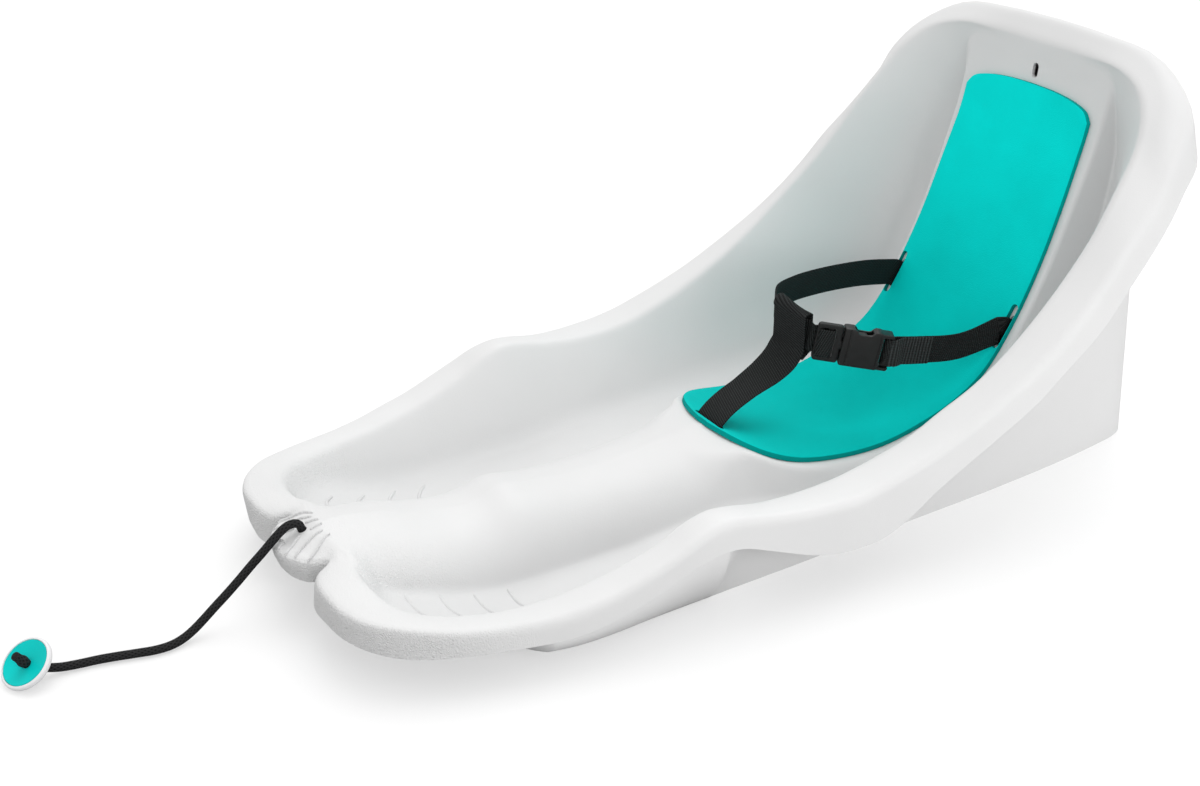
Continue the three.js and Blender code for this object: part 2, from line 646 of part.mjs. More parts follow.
// A flat ribbon along a line of points; each point gives the direction of its width.
function ribbonSolid(points, widthDirections, width, thickness) {
  const corners = [];
  const faces = [];
  points.forEach((p, i) => {
    const before = points[Math.max(i - 1, 0)];
    const after = points[Math.min(i + 1, points.length - 1)];
    const back = p.clone().sub(before);
    const ahead = after.clone().sub(p);
    const along = after.clone().sub(before).normalize();
    const lengthwise = widthDirections[i].dot(along);
    const wide = widthDirections[i].clone().addScaledVector(along, -lengthwise).normalize();
    const thick = new THREE.Vector3().crossVectors(wide, along).normalize();
    let mitre = 1;
    if (back.length() > 0 && ahead.length() > 0) {
      const half = back.angleTo(ahead) / 2;
      mitre = 1 / Math.max(Math.cos(half), 1 / 2);
    }
    const w = wide.multiplyScalar(width / 2);
    const h = thick.multiplyScalar(thickness * mitre / 2);
    corners.push(p.clone().add(w).add(h), p.clone().sub(w).add(h));
    corners.push(p.clone().sub(w).sub(h), p.clone().add(w).sub(h));
  });
  const ring = 4;
  for (let i = 0; i < points.length - 1; i += 1) {
    for (let k = 0; k < ring; k += 1) {
      const a = i * ring + k;
      const b = i * ring + ((k + 1) % ring);
      faces.push(a, b, b + ring, a, b + ring, a + ring);
    }
  }
  const end = (points.length - 1) * ring;
  faces.push(0, 2, 1, 0, 3, 2, end, end + 1, end + 2, end, end + 2, end + 3);
  return closedFrom(corners, faces);
}

// Points of a turn round a bar: the webbing's middle line, in the plane of `forward` and `side`.
const turnSteps = 6;
function turnPoints(centre, forward, side, radius) {
  const points = [];
  for (let i = 0; i <= turnSteps; i += 1) {
    const angle = Math.PI * i / turnSteps;
    points.push(centre.clone().addScaledVector(side, -radius * Math.cos(angle))
      .addScaledVector(forward, radius * Math.sin(angle)));
  }
  return points;
}

// Buckle frame: x from the plug's end toward the socket's end, z across the webbing.
const plugEnd = place(...plugEndShares);
const socketEnd = place(...socketEndShares);
const buckleAxis = socketEnd.clone().sub(plugEnd).normalize();
const buckleFrame = frameAt(plugEnd, buckleAxis, upward);
const inBuckle = (x, y, z) => new THREE.Vector3(x, y, z).applyMatrix4(buckleFrame);
const buckleY = new THREE.Vector3().setFromMatrixColumn(buckleFrame, 1);
const buckleZ = new THREE.Vector3().setFromMatrixColumn(buckleFrame, 2);

function roundedPlate(length, height, corner, thickness, bevel, startX) {
  const shape = new THREE.Shape();
  const h = height / 2 - bevel;
  const x0 = startX + bevel;
  const x1 = startX + length - bevel;
  const c = corner;
  shape.moveTo(x0 + c, -h);
  shape.lineTo(x1 - c, -h);
  shape.quadraticCurveTo(x1, -h, x1, -h + c);
  shape.lineTo(x1, h - c);
  shape.quadraticCurveTo(x1, h, x1 - c, h);
  shape.lineTo(x0 + c, h);
  shape.quadraticCurveTo(x0, h, x0, h - c);
  shape.lineTo(x0, -h + c);
  shape.quadraticCurveTo(x0, -h, x0 + c, -h);
  const geometry = new THREE.ExtrudeGeometry(shape, {
    depth: thickness - 2 * bevel, bevelEnabled: true, bevelThickness: bevel, bevelSize: bevel,
    bevelSegments: 1, curveSegments: 3, steps: 1,
  });
  geometry.translate(0, 0, -thickness / 2 + bevel);
  geometry.rotateX(Math.PI / 2);
  return solidOf(geometry, buckleFrame);
}
const buckleBox = (x0, x1, y, z0, z1) => boxSolid(x1 - x0, y, z1 - z0,
  buckleFrame.clone().multiply(new THREE.Matrix4().makeTranslation((x0 + x1) / 2, 0, (z0 + z1) / 2)));

// The socket starts behind the plug's frame, with a running gap between them.
const socketStart = plugFrameLength + runningGap;
const socketLength = buckleLength - socketStart;
const socketCorner = 3;
const windowInset = pocketHeight / 2 - 3 * armHeight / 2;
const webSlotHeight = lapWidth + 2 * webSlotMargin;
const socketBarStart = buckleLength - barWidth;
const socketSlotStart = socketBarStart - webSlot;

function socketSolid() {
  let socket = roundedPlate(socketLength, buckleHeight, socketCorner, buckleThickness, buckleBevel,
    socketStart);
  const past = buckleHeight;
  socket = socket.subtract(buckleBox(socketStart - past, socketStart + pocketDepth, pocketThickness,
    -pocketHeight / 2, pocketHeight / 2));
  for (const side of [1, -1]) {
    const low = Math.min(side * windowInset, side * past);
    const high = Math.max(side * windowInset, side * past);
    socket = socket.subtract(buckleBox(socketStart + windowStart, socketStart + windowStart + windowLength,
      pocketThickness, low, high));
  }
  const webHalf = webSlotHeight / 2;
  socket = socket.subtract(buckleBox(socketSlotStart, socketBarStart, past, -webHalf, webHalf));
  const thinning = buckleBox(socketSlotStart, buckleLength + past, past, -webHalf, webHalf)
    .subtract(buckleBox(0, buckleLength + past, barThickness, -past, past));
  return socket.subtract(thinning);
}

// The plug: a frame with a bar for the webbing, and a guide tongue between the arms.
const plugCorner = 2.5;
const tongueHeight = 7;
const tongueLength = 20;
const plugSlotStart = barWidth;
const plugSlotEnd = plugSlotStart + webSlot;
const secondSlotStart = plugSlotEnd + barWidth;
const secondSlotEnd = secondSlotStart + webSlot;

function plugSolid() {
  let plug = roundedPlate(plugFrameLength, buckleHeight, plugCorner, plugFrameThickness, buckleBevel, 0);
  const past = buckleHeight;
  for (const [x0, x1] of [[plugSlotStart, plugSlotEnd], [secondSlotStart, secondSlotEnd]]) {
    plug = plug.subtract(buckleBox(x0, x1, past, -webSlotHeight / 2, webSlotHeight / 2));
  }
  return plug.add(buckleBox(plugFrameLength - barWidth / 2, socketStart + tongueLength, armThickness,
    -tongueHeight / 2, tongueHeight / 2));
}

// A flexing arm: a root by the plug's frame, a blade, and the thumb pad in the window.
const armRootGap = 0.3;
const armPadLength = 13;
function armSolid(side) {
  const edge = pocketHeight / 2 - runningGap;
  const inner = edge - armHeight;
  const x0 = plugFrameLength + armRootGap;
  const x1 = x0 + armLength;
  const padStart = socketStart + windowStart + runningGap + armRootGap;
  const shape = new THREE.Shape();
  shape.moveTo(x0, inner);
  shape.lineTo(x1 - armHeight / 2, inner);
  shape.lineTo(x1, inner + armHeight / 3);
  shape.lineTo(x1, edge - armHeight / 4);
  shape.lineTo(padStart + armPadLength - armHeight / 2, edge);
  shape.lineTo(x0, edge);
  shape.closePath();
  const geometry = new THREE.ExtrudeGeometry(shape, { depth: armThickness, bevelEnabled: false, steps: 1 });
  geometry.translate(0, 0, -armThickness / 2);
  geometry.rotateX(side * Math.PI / 2);
  return solidOf(geometry, buckleFrame);
}

// Lap belt, right part: from behind the shell, through the crotch loop, round the plug's bar.
const lapTurn = Math.hypot(barWidth, barThickness) / 2 + webGap + webThickness / 2;
function lineAlong(points, count) {
  return curveThrough(points).getSpacedPoints(count);
}
const stopTurn = stopDiameter / 2 + webGap + webThickness / 2;
const behind = wall + stopDiameter / 2 + 2 * webGap + 2 * webThickness;

// The end of a strap behind the shell: a closed eye round its stop bar, sewn to the strap.
function eyeSolid(centre, widthDirection, width) {
  const shape = new THREE.Shape();
  shape.absarc(0, 0, stopTurn + webThickness / 2, 0, 2 * Math.PI, false);
  const hole = new THREE.Path();
  hole.absarc(0, 0, stopTurn - webThickness / 2, 0, 2 * Math.PI, true);
  shape.holes.push(hole);
  const depth = width - webGap;
  const geometry = new THREE.ExtrudeGeometry(shape, {
    depth, bevelEnabled: false, curveSegments: 8, steps: 1,
  });
  geometry.translate(0, 0, -depth / 2);
  return solidOf(geometry, turnedTo(centre, upward, widthDirection));
}

function stopCentre(frame) {
  const out = new THREE.Vector3().setFromMatrixColumn(frame, 0);
  return new THREE.Vector3().setFromMatrixPosition(frame).addScaledVector(out, -behind);
}

const stopSides = 12;
function stopSolid(frame, length) {
  const widthDirection = new THREE.Vector3().setFromMatrixColumn(frame, 2);
  const geometry = new THREE.CylinderGeometry(stopDiameter / 2, stopDiameter / 2, length, stopSides);
  return solidOf(geometry, turnedTo(stopCentre(frame), new THREE.Vector3(0, 1, 0), widthDirection));
}

// The straight run of a strap from its eye out through the slot and the pad.
function slotLead(frame) {
  const out = new THREE.Vector3().setFromMatrixColumn(frame, 0);
  const centre = stopCentre(frame);
  const reach = behind + padThickness + slotRun;
  return [centre.clone().addScaledVector(out, stopTurn), centre.clone().addScaledVector(out, reach)];
}

// How far a strap's width has turned from its slot's direction to upright, point by point.
const settleSteps = 5;
const settled = (i) => Math.min(Math.max(i - 1, 0) / settleSteps, 1);

const rightSteps = 26;
function rightStrapSolid() {
  const frame = strapFrame(-1);
  const along = new THREE.Vector3().setFromMatrixColumn(frame, 2);
  const [start, lead] = slotLead(frame);
  const route = rightRouteShares.slice(1).map((row) => place(...row));
  const barX = plugSlotEnd + barWidth / 2;
  const bar = inBuckle(barX, 0, 0);
  const nearBar = [inBuckle(-2 * webThickness, lapTurn, 0), inBuckle(plugSlotStart, lapTurn, 0)];
  const path = lineAlong([lead, ...route, ...nearBar], rightSteps);
  const turn = turnPoints(bar, buckleAxis, buckleY.clone().negate(), lapTurn);
  const tail = [inBuckle(barX - plugTail, -lapTurn, 0)];
  const points = [start, ...path, ...turn, ...tail];
  const widths = points.map((p, i) => along.clone().lerp(upward, settled(i)));
  for (let i = points.length - turn.length - 4; i < points.length; i += 1) widths[i] = buckleZ.clone();
  const strap = ribbonSolid(points, widths, lapWidth, webThickness);
  return strap.add(eyeSolid(stopCentre(frame), along, lapWidth));
}

const leftSteps = 14;
function leftStrapSolid() {
  const frame = strapFrame(1);
  const along = new THREE.Vector3().setFromMatrixColumn(frame, 2);
  const [start, lead] = slotLead(frame);
  const barX = socketBarStart + barWidth / 2;
  const bar = inBuckle(barX, 0, 0);
  const route = leftRouteShares.slice(1, -1).reverse().map((row) => place(...row));
  const nearBar = inBuckle(barX + 3 * webThickness, -lapTurn, 0);
  const path = lineAlong([lead, ...route, nearBar, inBuckle(barX, -lapTurn, 0)], leftSteps);
  const turn = turnPoints(bar, buckleAxis.clone().negate(), buckleY, lapTurn).slice(1);
  const tailStart = inBuckle(barX, lapTurn, 0);
  const outward = path.slice(Math.max(path.length - 7, 0)).reverse();
  const tail = outward.slice(1).map((p, i) => {
    const next = outward[Math.min(i + 2, outward.length - 1)];
    const before = outward[i];
    const direction = next.clone().sub(before).normalize();
    const side = new THREE.Vector3().crossVectors(upward, direction).normalize();
    const share = Math.max(1 - i / 2, 0);
    const near = webThickness + webGap;
    const spread = near + (2 * lapTurn - near) * share;
    return p.clone().addScaledVector(side, spread);
  }).filter((p) => p.distanceTo(tailStart) < lapTail);
  const points = [start, ...path, ...turn, ...tail];
  const widths = points.map((p, i) => along.clone().lerp(upward, settled(i)));
  for (let i = path.length - 1; i < path.length + turn.length + 1; i += 1) widths[i] = buckleZ.clone();
  const strap = ribbonSolid(points, widths, lapWidth, webThickness);
  return strap.add(eyeSolid(stopCentre(frame), along, lapWidth));
}

// Crotch strap: up from its slot, with the sewn loop that the lap belt runs through.
const loopGap = 3.2;
function crotchSolid() {
  const centre = stopCentre(crotchFrame);
  const rise = crotchRouteShares.map(([y, z]) => place(0, y, z));
  const top = place(...loopTopShares);
  const last = rise[rise.length - 1];
  const lap = place(...rightRouteShares[6]);
  const before = place(...rightRouteShares[5]);
  const lapAlong = place(...rightRouteShares[7]).sub(before).setZ(0).normalize();
  const front = new THREE.Vector3(lapAlong.y, -lapAlong.x, 0);
  const radius = loopGap + webThickness;
  const topCentre = new THREE.Vector3(0, lap.y, top.z - radius);
  const bottomCentre = new THREE.Vector3(0, lap.y, last.z + 3 * webThickness);
  const path = lineAlong([centre.clone().addScaledVector(upward, stopTurn), ...rise], 16);
  const frontLow = bottomCentre.clone().addScaledVector(front, radius);
  const loop = [frontLow];
  const arcSteps = 6;
  for (let i = 0; i <= arcSteps; i += 1) {
    const angle = Math.PI * i / arcSteps;
    loop.push(topCentre.clone().addScaledVector(front, radius * Math.cos(angle))
      .addScaledVector(upward, radius * Math.sin(angle)));
  }
  loop.push(bottomCentre.clone().addScaledVector(front, -radius));
  loop.push(last.clone().addScaledVector(front, -webThickness).addScaledVector(upward, -webThickness));
  const points = [...path, ...loop];
  const twist = (i) => Math.min(Math.max(2 * i / path.length - 1, 0), 1);
  const widths = points.map((p, i) => acrossAxis.clone().lerp(lapAlong, twist(i)));
  const strap = ribbonSolid(points, widths, crotchWidth, webThickness);
  return strap.add(eyeSolid(centre, acrossAxis, crotchWidth));
}

// Pull rope: it leaves the nose, falls to the ground and lies toward the handle.
const ropeRoute = [
  [0, 21.4, 69.3], [0, 17.5, 71], [0, 12, 70.2], [0, 6, 66.3], [0, -1, 60.3], [0, -8, 54],
  [0, -18, 45.5], [0, -28, 36.5], [0, -38, 28], [0, -48, 20], [0.5, -57, 13], [2, -66, 7.5],
  [4.5, -75, 4.6], [6.5, -84.5, 3.6], [6.5, -95.5, 3.6], [3.5, -108, 3.6], [0, -121, 3.6],
  [-3, -134, 3.6], [-5, -148, 3.7], [-6.5, -160, 4.6], [-7.5, -168.5, 6.8],
];
const ropePoint = ([x, y, z]) => new THREE.Vector3(x, y - sledLength / 2, z);
const ropeStart = noseExit.clone().addScaledVector(ropeAxis, stubRise + restGap);
const discTilt = new THREE.Vector3(0.22, -0.515, 0.827).normalize();
const discPlace = [-10, -181, 13.2];
const discCentre = ropePoint(discPlace);

function roundSection(diameter, sides) {
  const shape = new THREE.Shape();
  for (let i = 0; i < sides; i += 1) {
    const angle = 2 * Math.PI * (i + 1 / 2) / sides;
    const x = diameter / 2 * Math.cos(angle);
    const y = diameter / 2 * Math.sin(angle);
    if (i === 0) shape.moveTo(x, y);
    else shape.lineTo(x, y);
  }
  shape.closePath();
  return shape;
}
const ropeSides = 8;
const ropeSteps = 20;

function ropeSolid() {
  const end = discCentre.clone().addScaledVector(discTilt, -discThickness / 2 - restGap);
  const before = end.clone().addScaledVector(discTilt, -ropeDiameter / 3);
  const points = [ropeStart, ...ropeRoute.map(ropePoint), before, end];
  const path = curveThrough(points);
  const geometry = new THREE.ExtrudeGeometry(roundSection(ropeDiameter, ropeSides), {
    steps: ropeSteps, bevelEnabled: false, extrudePath: path,
  });
  return solidOf(geometry);
}

// Revolved pieces: a profile of radius and height, turned about an axis through a centre.
function revolved(profile, centre, axis, segments) {
  const geometry = new THREE.LatheGeometry(profile.map(([r, h]) => new THREE.Vector2(r, h)), segments);
  return solidOf(geometry, turnedTo(centre, new THREE.Vector3(0, 1, 0), axis));
}
const discSegments = 32;
const boreRadius = ropeDiameter / 2 + restGap;

function discSolid() {
  const half = discThickness / 2;
  const outer = discDiameter / 2;
  const face = faceDiameter / 2 + restGap;
  const floor = half - faceDepth - faceThickness;
  return revolved([
    [boreRadius, -half], [outer - half, -half], [outer, -half / 2], [outer, half / 2],
    [outer - half / 2, half],
    [face, half], [face, half - faceThickness], [boreRadius, floor], [boreRadius, -half],
  ], discCentre, discTilt, discSegments);
}

function faceSolid() {
  const half = discThickness / 2;
  const face = faceDiameter / 2;
  const seat = half - faceThickness + restGap;
  const floor = half - faceDepth - faceThickness + restGap;
  return revolved([
    [boreRadius, floor], [face, seat], [face, half], [boreRadius, half - faceDepth], [boreRadius, floor],
  ], discCentre, discTilt, discSegments);
}

// Rope end through the disc: a thin run through the bore and the cut stub in front of the face.
const knotSegments = 12;
function handleKnotSolid() {
  const half = discThickness / 2;
  const front = half - faceDepth + restGap;
  const shaft = ropeDiameter / 2;
  const bulge = shaft + stubBulge;
  const cutEnd = front + stubLength + bulge;
  return revolved([
    [0, -half], [shaft, -half], [shaft, front], [bulge, front + bulge / 2], [bulge, front + bulge],
    [shaft, front + 2 * bulge], [shaft * 5 / 6, cutEnd], [0, cutEnd],
  ], discCentre, discTilt, knotSegments);
}

// Stopper knot inside the nose, with the run of rope that fills the hole.
function noseKnotSolid() {
  const shaft = ropeDiameter / 2;
  const knot = knotDiameter / 2;
  const inside = wall + restGap + knot;
  const centre = noseExit.clone().addScaledVector(ropeAxis, -inside);
  const length = inside + stubRise;
  return revolved([
    [0, -knot * 8 / 5], [shaft, -knot * 8 / 5], [shaft, -knot * 4 / 5], [knot, -knot * 2 / 5],
    [knot, knot * 2 / 5],
    [shaft, knot * 4 / 5], [shaft, length], [0, length],
  ], centre, ropeAxis, knotSegments);
}

const looks = {
  shell: { color: 0xeeeeee, roughness: 0.35, metalness: 0 },
  pad: { color: 0x00cdc6, roughness: 0.8, metalness: 0 },
  web: { color: 0x161616, roughness: 0.9, metalness: 0 },
  buckle: { color: 0x141414, roughness: 0.4, metalness: 0 },
  stop: { color: 0x9aa0a4, roughness: 0.4, metalness: 0.8 },
  rope: { color: 0x1b1b1b, roughness: 0.9, metalness: 0 },
  disc: { color: 0xe8e8e8, roughness: 0.4, metalness: 0 },
  face: { color: 0x00c8c0, roughness: 0.5, metalness: 0 },
};

const sled = new THREE.Group();
function addPiece(name, solid, look) {
  const mesh = new THREE.Mesh(geometryFrom(solid), new THREE.MeshStandardMaterial(look));
  mesh.name = name;
  sled.add(mesh);
}

const lapStopLength = lapWidth + 3 * stopOverhang + slotWidth;
const crotchStopLength = crotchWidth + 3 * stopOverhang;
addPiece('sled_shell', shellSolid(), looks.shell);
addPiece('seat_pad', padSolid(), looks.pad);
addPiece('lap_strap_right', rightStrapSolid(), looks.web);
addPiece('lap_strap_left', leftStrapSolid(), looks.web);
addPiece('crotch_strap', crotchSolid(), looks.web);
addPiece('buckle_socket', socketSolid(), looks.buckle);
addPiece('buckle_plug', plugSolid(), looks.buckle);
addPiece('plug_arm_upper', armSolid(1), looks.buckle);
addPiece('plug_arm_lower', armSolid(-1), looks.buckle);
addPiece('strap_stop_right', stopSolid(strapFrame(-1), lapStopLength), looks.stop);
addPiece('strap_stop_left', stopSolid(strapFrame(1), lapStopLength), looks.stop);
addPiece('strap_stop_crotch', stopSolid(crotchFrame, crotchStopLength), looks.stop);
addPiece('pull_rope', ropeSolid(), looks.rope);
addPiece('nose_knot', noseKnotSolid(), looks.rope);
addPiece('handle_disc', discSolid(), looks.disc);
addPiece('handle_face', faceSolid(), looks.face);
addPiece('handle_knot', handleKnotSolid(), looks.rope);

export default sled;
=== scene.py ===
import math

import bmesh
import bpy
import numpy as np
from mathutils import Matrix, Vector
from mathutils.bvhtree import BVHTree


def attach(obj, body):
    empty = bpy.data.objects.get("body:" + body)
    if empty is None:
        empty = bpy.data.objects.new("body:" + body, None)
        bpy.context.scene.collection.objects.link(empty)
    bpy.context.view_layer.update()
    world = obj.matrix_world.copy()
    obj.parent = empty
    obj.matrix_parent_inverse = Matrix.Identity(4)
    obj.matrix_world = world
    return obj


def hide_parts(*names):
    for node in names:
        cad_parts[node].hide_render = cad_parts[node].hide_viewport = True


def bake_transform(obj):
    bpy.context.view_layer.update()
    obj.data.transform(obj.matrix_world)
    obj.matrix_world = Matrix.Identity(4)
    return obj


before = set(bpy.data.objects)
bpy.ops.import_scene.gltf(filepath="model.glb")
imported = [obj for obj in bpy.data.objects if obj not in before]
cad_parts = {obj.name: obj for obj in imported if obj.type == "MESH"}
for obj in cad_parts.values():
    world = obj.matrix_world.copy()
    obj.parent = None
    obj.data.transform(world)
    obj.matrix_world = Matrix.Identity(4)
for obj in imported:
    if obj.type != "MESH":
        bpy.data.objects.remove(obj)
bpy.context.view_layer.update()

MM = 0.001
WELD = 1e-6
MIDDLE_WELD = 1e-5
SLED_LENGTH = 771
WALL = 3.2
SHOULDER_ROUND = 60
SEAT_ROUND = 7
BACK_ROUND = 4
SEAT_STATIONS = (21, 24)
BACK_STATIONS = (31, 34)
TROUGH_STATIONS = (10, 14)
INNER_FOOT_ROUND = 10
OUTER_FOOT_ROUND = 16
RIM_ROUND = 6
CREST_ROUND = 9
CREASE_ROUND = 8
RIM_CROWN = 1.5
RIB_HEIGHT = 1.4
RIB_WIDTH = 3
RIDGE_HEIGHT = 1.9
RIDGE_WIDTH = 2
SLOT_LENGTH = 30
PAD_SLOT_LENGTH = 42
PAD_SLOT_WIDTH = 7
PAD_SLOT_DROP = 2.5
SLOT_WIDTH = 5
SLOT_HALF_SPAN = 72.5
HANG_SLOT_WIDTH = 6.5
HANG_SLOT_LENGTH = 13
PAD_THICKNESS = 4.5
PAD_WIDTH = 154
REST_GAP = 0.35
WEB_THICKNESS = 1.5
LAP_WIDTH = 25
CROTCH_WIDTH = 35
WEB_GAP = 0.4
STOP_DIAMETER = 5
SLOT_RUN = 4.5
FAR_DROP = 4
NEAR_DROP = 7
LAP_TAIL = 45
PLUG_TAIL = 10
BUCKLE_LENGTH = 65
BAR_THICKNESS = 5
BAR_WIDTH = 4
WEB_SLOT = 5
ROPE_DIAMETER = 6.5
ROPE_CLEARANCE = 0.3
ROPE_LEAN = 0.35
STUB_RISE = 1.5
STUB_LENGTH = 9
DISC_DIAMETER = 40
DISC_THICKNESS = 5
FACE_DIAMETER = 35
FACE_DEPTH = 2.4
FACE_THICKNESS = 1.6
DISC_TILT = [0.22, -0.515, 0.827]
DISC_PLACE = [-10, -181, 13.2]
TURNED_SIDES = 96
KNOT_AT = 4
KNOT_SPREAD = 3.0
KNOT_SWELL = 1.0
STUB_END_SHARE = 0.8

# How finely rope and straps are drawn, in steps along each or sides round it.
ROPE_STEPS = 90
ROPE_SIDES = 20
RIGHT_STEPS = 110
LEFT_STEPS = 240
CROTCH_STEPS = 40
STUB_ROWS = 26
STUB_SIDES = 24
HOLE_SIDES = 24

# Guide curves of the shell's right half, front to rear, in millimetres: across, from the nose, up.
SPINE = [
    [30, 65.5], [32, 66], [35, 66.7], [39, 67], [43, 67], [48, 67], [54, 66.8], [61, 66], [69, 64.5],
    [78, 62.5], [88, 60], [98, 57], [116, 51], [146, 46], [165, 47.5], [188, 54.3], [212, 50.3],
    [236, 47.3], [254, 46.5], [272, 46.8], [290, 47], [315, 49.5], [345, 53], [366, 55.2], [379, 56],
    [386, 53.3], [402, 47.6], [430, 40], [460, 35], [490, 32.5], [520, 33.5], [552, 39.8], [590, 52.5],
    [622, 73], [650, 111.5], [676, 164], [697, 222], [711, 266], [716, 291], [718, 303], [718.5, 308],
    [718.8, 311], [719, 313],
]
EDGE = [
    [0, 25, 64.6], [4, 28.5, 65.2], [10, 33, 65.2], [18, 38, 64], [25, 42, 62.5], [30, 47, 61],
    [34, 53, 59.5], [37, 60, 58.5], [39, 68, 57.5], [41, 77, 56.5], [42.5, 87, 54.5], [43, 98, 51.7],
    [43.5, 116, 46.8], [43.5, 146, 41.5], [43.5, 165, 42.8], [44, 188, 48.8], [44, 212, 45.4],
    [44, 236, 43], [44, 254, 42.2], [44.5, 272, 42], [45, 290, 42.2], [45.5, 315, 43.6],
    [46.5, 345, 46.2], [49, 366, 48.8],
    [52, 381, 50.5], [62, 392, 51], [75, 410, 44.7], [83.5, 434, 39.2], [84, 460, 35], [84, 490, 32.5],
    [84, 520, 33.5], [84, 552, 39.8], [84, 590, 52.5], [84, 622, 73], [84, 650, 111.5], [84, 676, 164],
    [84, 697, 222], [84, 711, 266], [84, 716, 291], [82, 718.5, 316], [64, 718.8, 324],
    [32, 719, 322], [0, 719.1, 319],
]
INNER_FOOT = [
    [0, 20, 63], [7, 24, 64], [16, 29, 64.5], [25, 36.5, 64.5], [36, 40, 62], [46, 45, 59],
    [57, 52, 47], [60, 59, 34], [61, 67, 28], [62, 76, 24], [62, 87, 20.5], [62, 98, 17],
    [62, 116, 11.3], [62, 146, 4.9], [62, 165, 3.1], [62, 188, 2.9], [62, 212, 2.9], [62, 236, 3.1],
    [62, 254, 3.4], [63, 272, 4.4], [63, 290, 6.7], [64, 315, 10], [66, 345, 13.3], [68, 366, 14.6],
    [72, 381, 15.4], [76, 396, 16.3], [86, 413, 17], [92, 436, 17.6], [93, 461, 17.8], [93, 491, 18.3],
    [93, 522, 20.5], [93, 557, 25.5], [93, 598, 37], [93, 638, 57], [93, 677, 96], [92.5, 707, 151],
    [92, 725, 213], [91, 731, 260], [89.5, 727, 289], [87, 720, 319], [73, 719.2, 329],
    [37, 719.2, 327], [0, 719.2, 324],
]
OUTER_FOOT = [
    [0, 15, 60.8], [10, 18, 61.5], [21, 25, 61.8], [30, 34.5, 62.5], [42, 37.5, 59.5], [52, 42, 58],
    [66, 46, 47], [80, 51, 37], [96, 60, 32], [107, 72, 26], [114, 86, 21.5], [119, 99, 17],
    [124, 116, 11.3], [129, 145, 4.9], [131, 165, 3.1], [132, 188, 2.9], [132.5, 212, 2.9],
    [133, 236, 3.1], [133, 254, 3.4], [133, 272, 4.4], [133, 290, 6.7], [133, 315, 10], [132, 345, 13.3],
    [131, 366, 14.6], [130, 381, 15.6], [130, 394, 17], [129.5, 412, 18.8], [129, 436, 21],
    [128, 461, 24], [126.5, 494, 28], [124.5, 527, 32], [122, 560, 37], [118, 606, 51],
    [115.5, 641, 68], [114, 674, 101], [112, 699, 158], [108, 716, 217], [103, 722, 264],
    [98, 721, 294], [93, 718.5, 322], [81, 718.6, 332], [42, 719.3, 331], [0, 719.3, 329],
]
RIM = [
    [0, 9, 58], [13, 12, 58.5], [26, 19, 58], [35.5, 31, 58], [47, 32, 58.5], [57, 37, 58.5],
    [69, 38, 58], [87, 41, 55.5], [106, 46.5, 52], [120, 57, 50], [129, 72, 48], [136, 91, 46],
    [142.8, 114, 45.6], [147.6, 144.5, 47.2], [150.5, 165, 50.3], [153, 188, 55], [155.7, 212, 62.6],
    [158, 236, 72], [159, 254, 82.3], [160.2, 272, 88], [161, 290, 86.8], [161.2, 315, 81.6],
    [160.1, 345, 78.8], [159.8, 366, 78.5], [159.9, 381, 79.4], [160.2, 394, 80.8], [160.7, 413, 84.4],
    [162.5, 435, 90.8], [164, 459, 98.8], [164.4, 489, 113.4], [166.4, 520, 129.5],
    [167.2, 548, 148.8], [167, 568, 165.5], [166, 588, 183], [164.3, 607, 200.5], [162.3, 631, 226],
    [158.7, 654, 256], [153, 678, 286], [143.5, 693.5, 307.5], [126.5, 706.5, 324.7],
    [99, 714.3, 335], [51, 719.2, 338], [0, 719.6, 338],
]
CREASE = [
    [0, -1.2, 54], [17, 3, 54], [31, 13, 53], [38, 27.5, 51], [45, 16, 52.5], [59, 9.5, 55.5],
    [72, 8, 56.5], [97, 10, 55], [119, 19.5, 53.8], [137, 37, 52.7], [151.8, 62.5, 49.3],
    [161.8, 88.5, 47.2], [169, 115, 46.2], [176.8, 144, 47.8], [180.8, 165, 51.8], [183.2, 188, 57],
    [185.4, 212, 65.2], [186.3, 236, 74.6], [185.9, 254, 82], [185.1, 272, 86.2], [184.7, 290, 85.6],
    [186, 315, 80.9], [190.5, 345, 78.3], [193.3, 366, 78.4], [195.4, 381, 78.6], [196.3, 393, 79.8],
    [196.3, 411, 83.5], [196.9, 437, 90.8], [197, 460, 98.4], [197, 490, 109.8], [197, 521, 124.5],
    [196.4, 554, 142], [195.6, 577, 156], [194, 600, 173.5], [192, 620, 192.5], [189.5, 643, 217],
    [186, 665, 236], [181, 688, 258], [175, 706, 284], [164, 728.5, 312], [122, 745, 337],
    [57, 748, 345], [0, 748.5, 347],
]
LIP = [
    [0, 5, 37], [16, 7.5, 37], [29, 15, 37], [36, 27, 37], [41, 14.5, 31], [56, 9, 30],
    [72, 9.5, 29.5], [97, 13, 29], [120, 23, 28.5], [139, 39, 28.5], [153.5, 63, 28.5],
    [163.5, 89, 28.5], [171, 116, 28.5], [178.5, 145, 29.5], [182.5, 165, 32.5], [184.5, 188, 37.5],
    [186.3, 212, 45.5], [187, 236, 54.5], [187, 254, 61], [187, 272, 64], [187, 290, 62.5],
    [188.6, 315, 53.5], [192.5, 345, 42.5], [194.8, 366, 37], [196.6, 381, 36], [197, 393, 36],
    [197.3, 411, 37], [198.4, 434, 46.5], [199.8, 460, 65], [200, 488, 80], [200, 524, 98],
    [199.5, 560, 117], [198, 590, 138], [196, 615, 154], [194.5, 632, 168], [192, 652, 189],
    [189, 672, 208], [185, 693, 229], [177, 716, 251], [163.5, 742.5, 275], [121, 749, 290],
    [58, 751, 298], [0, 751.5, 300],
]
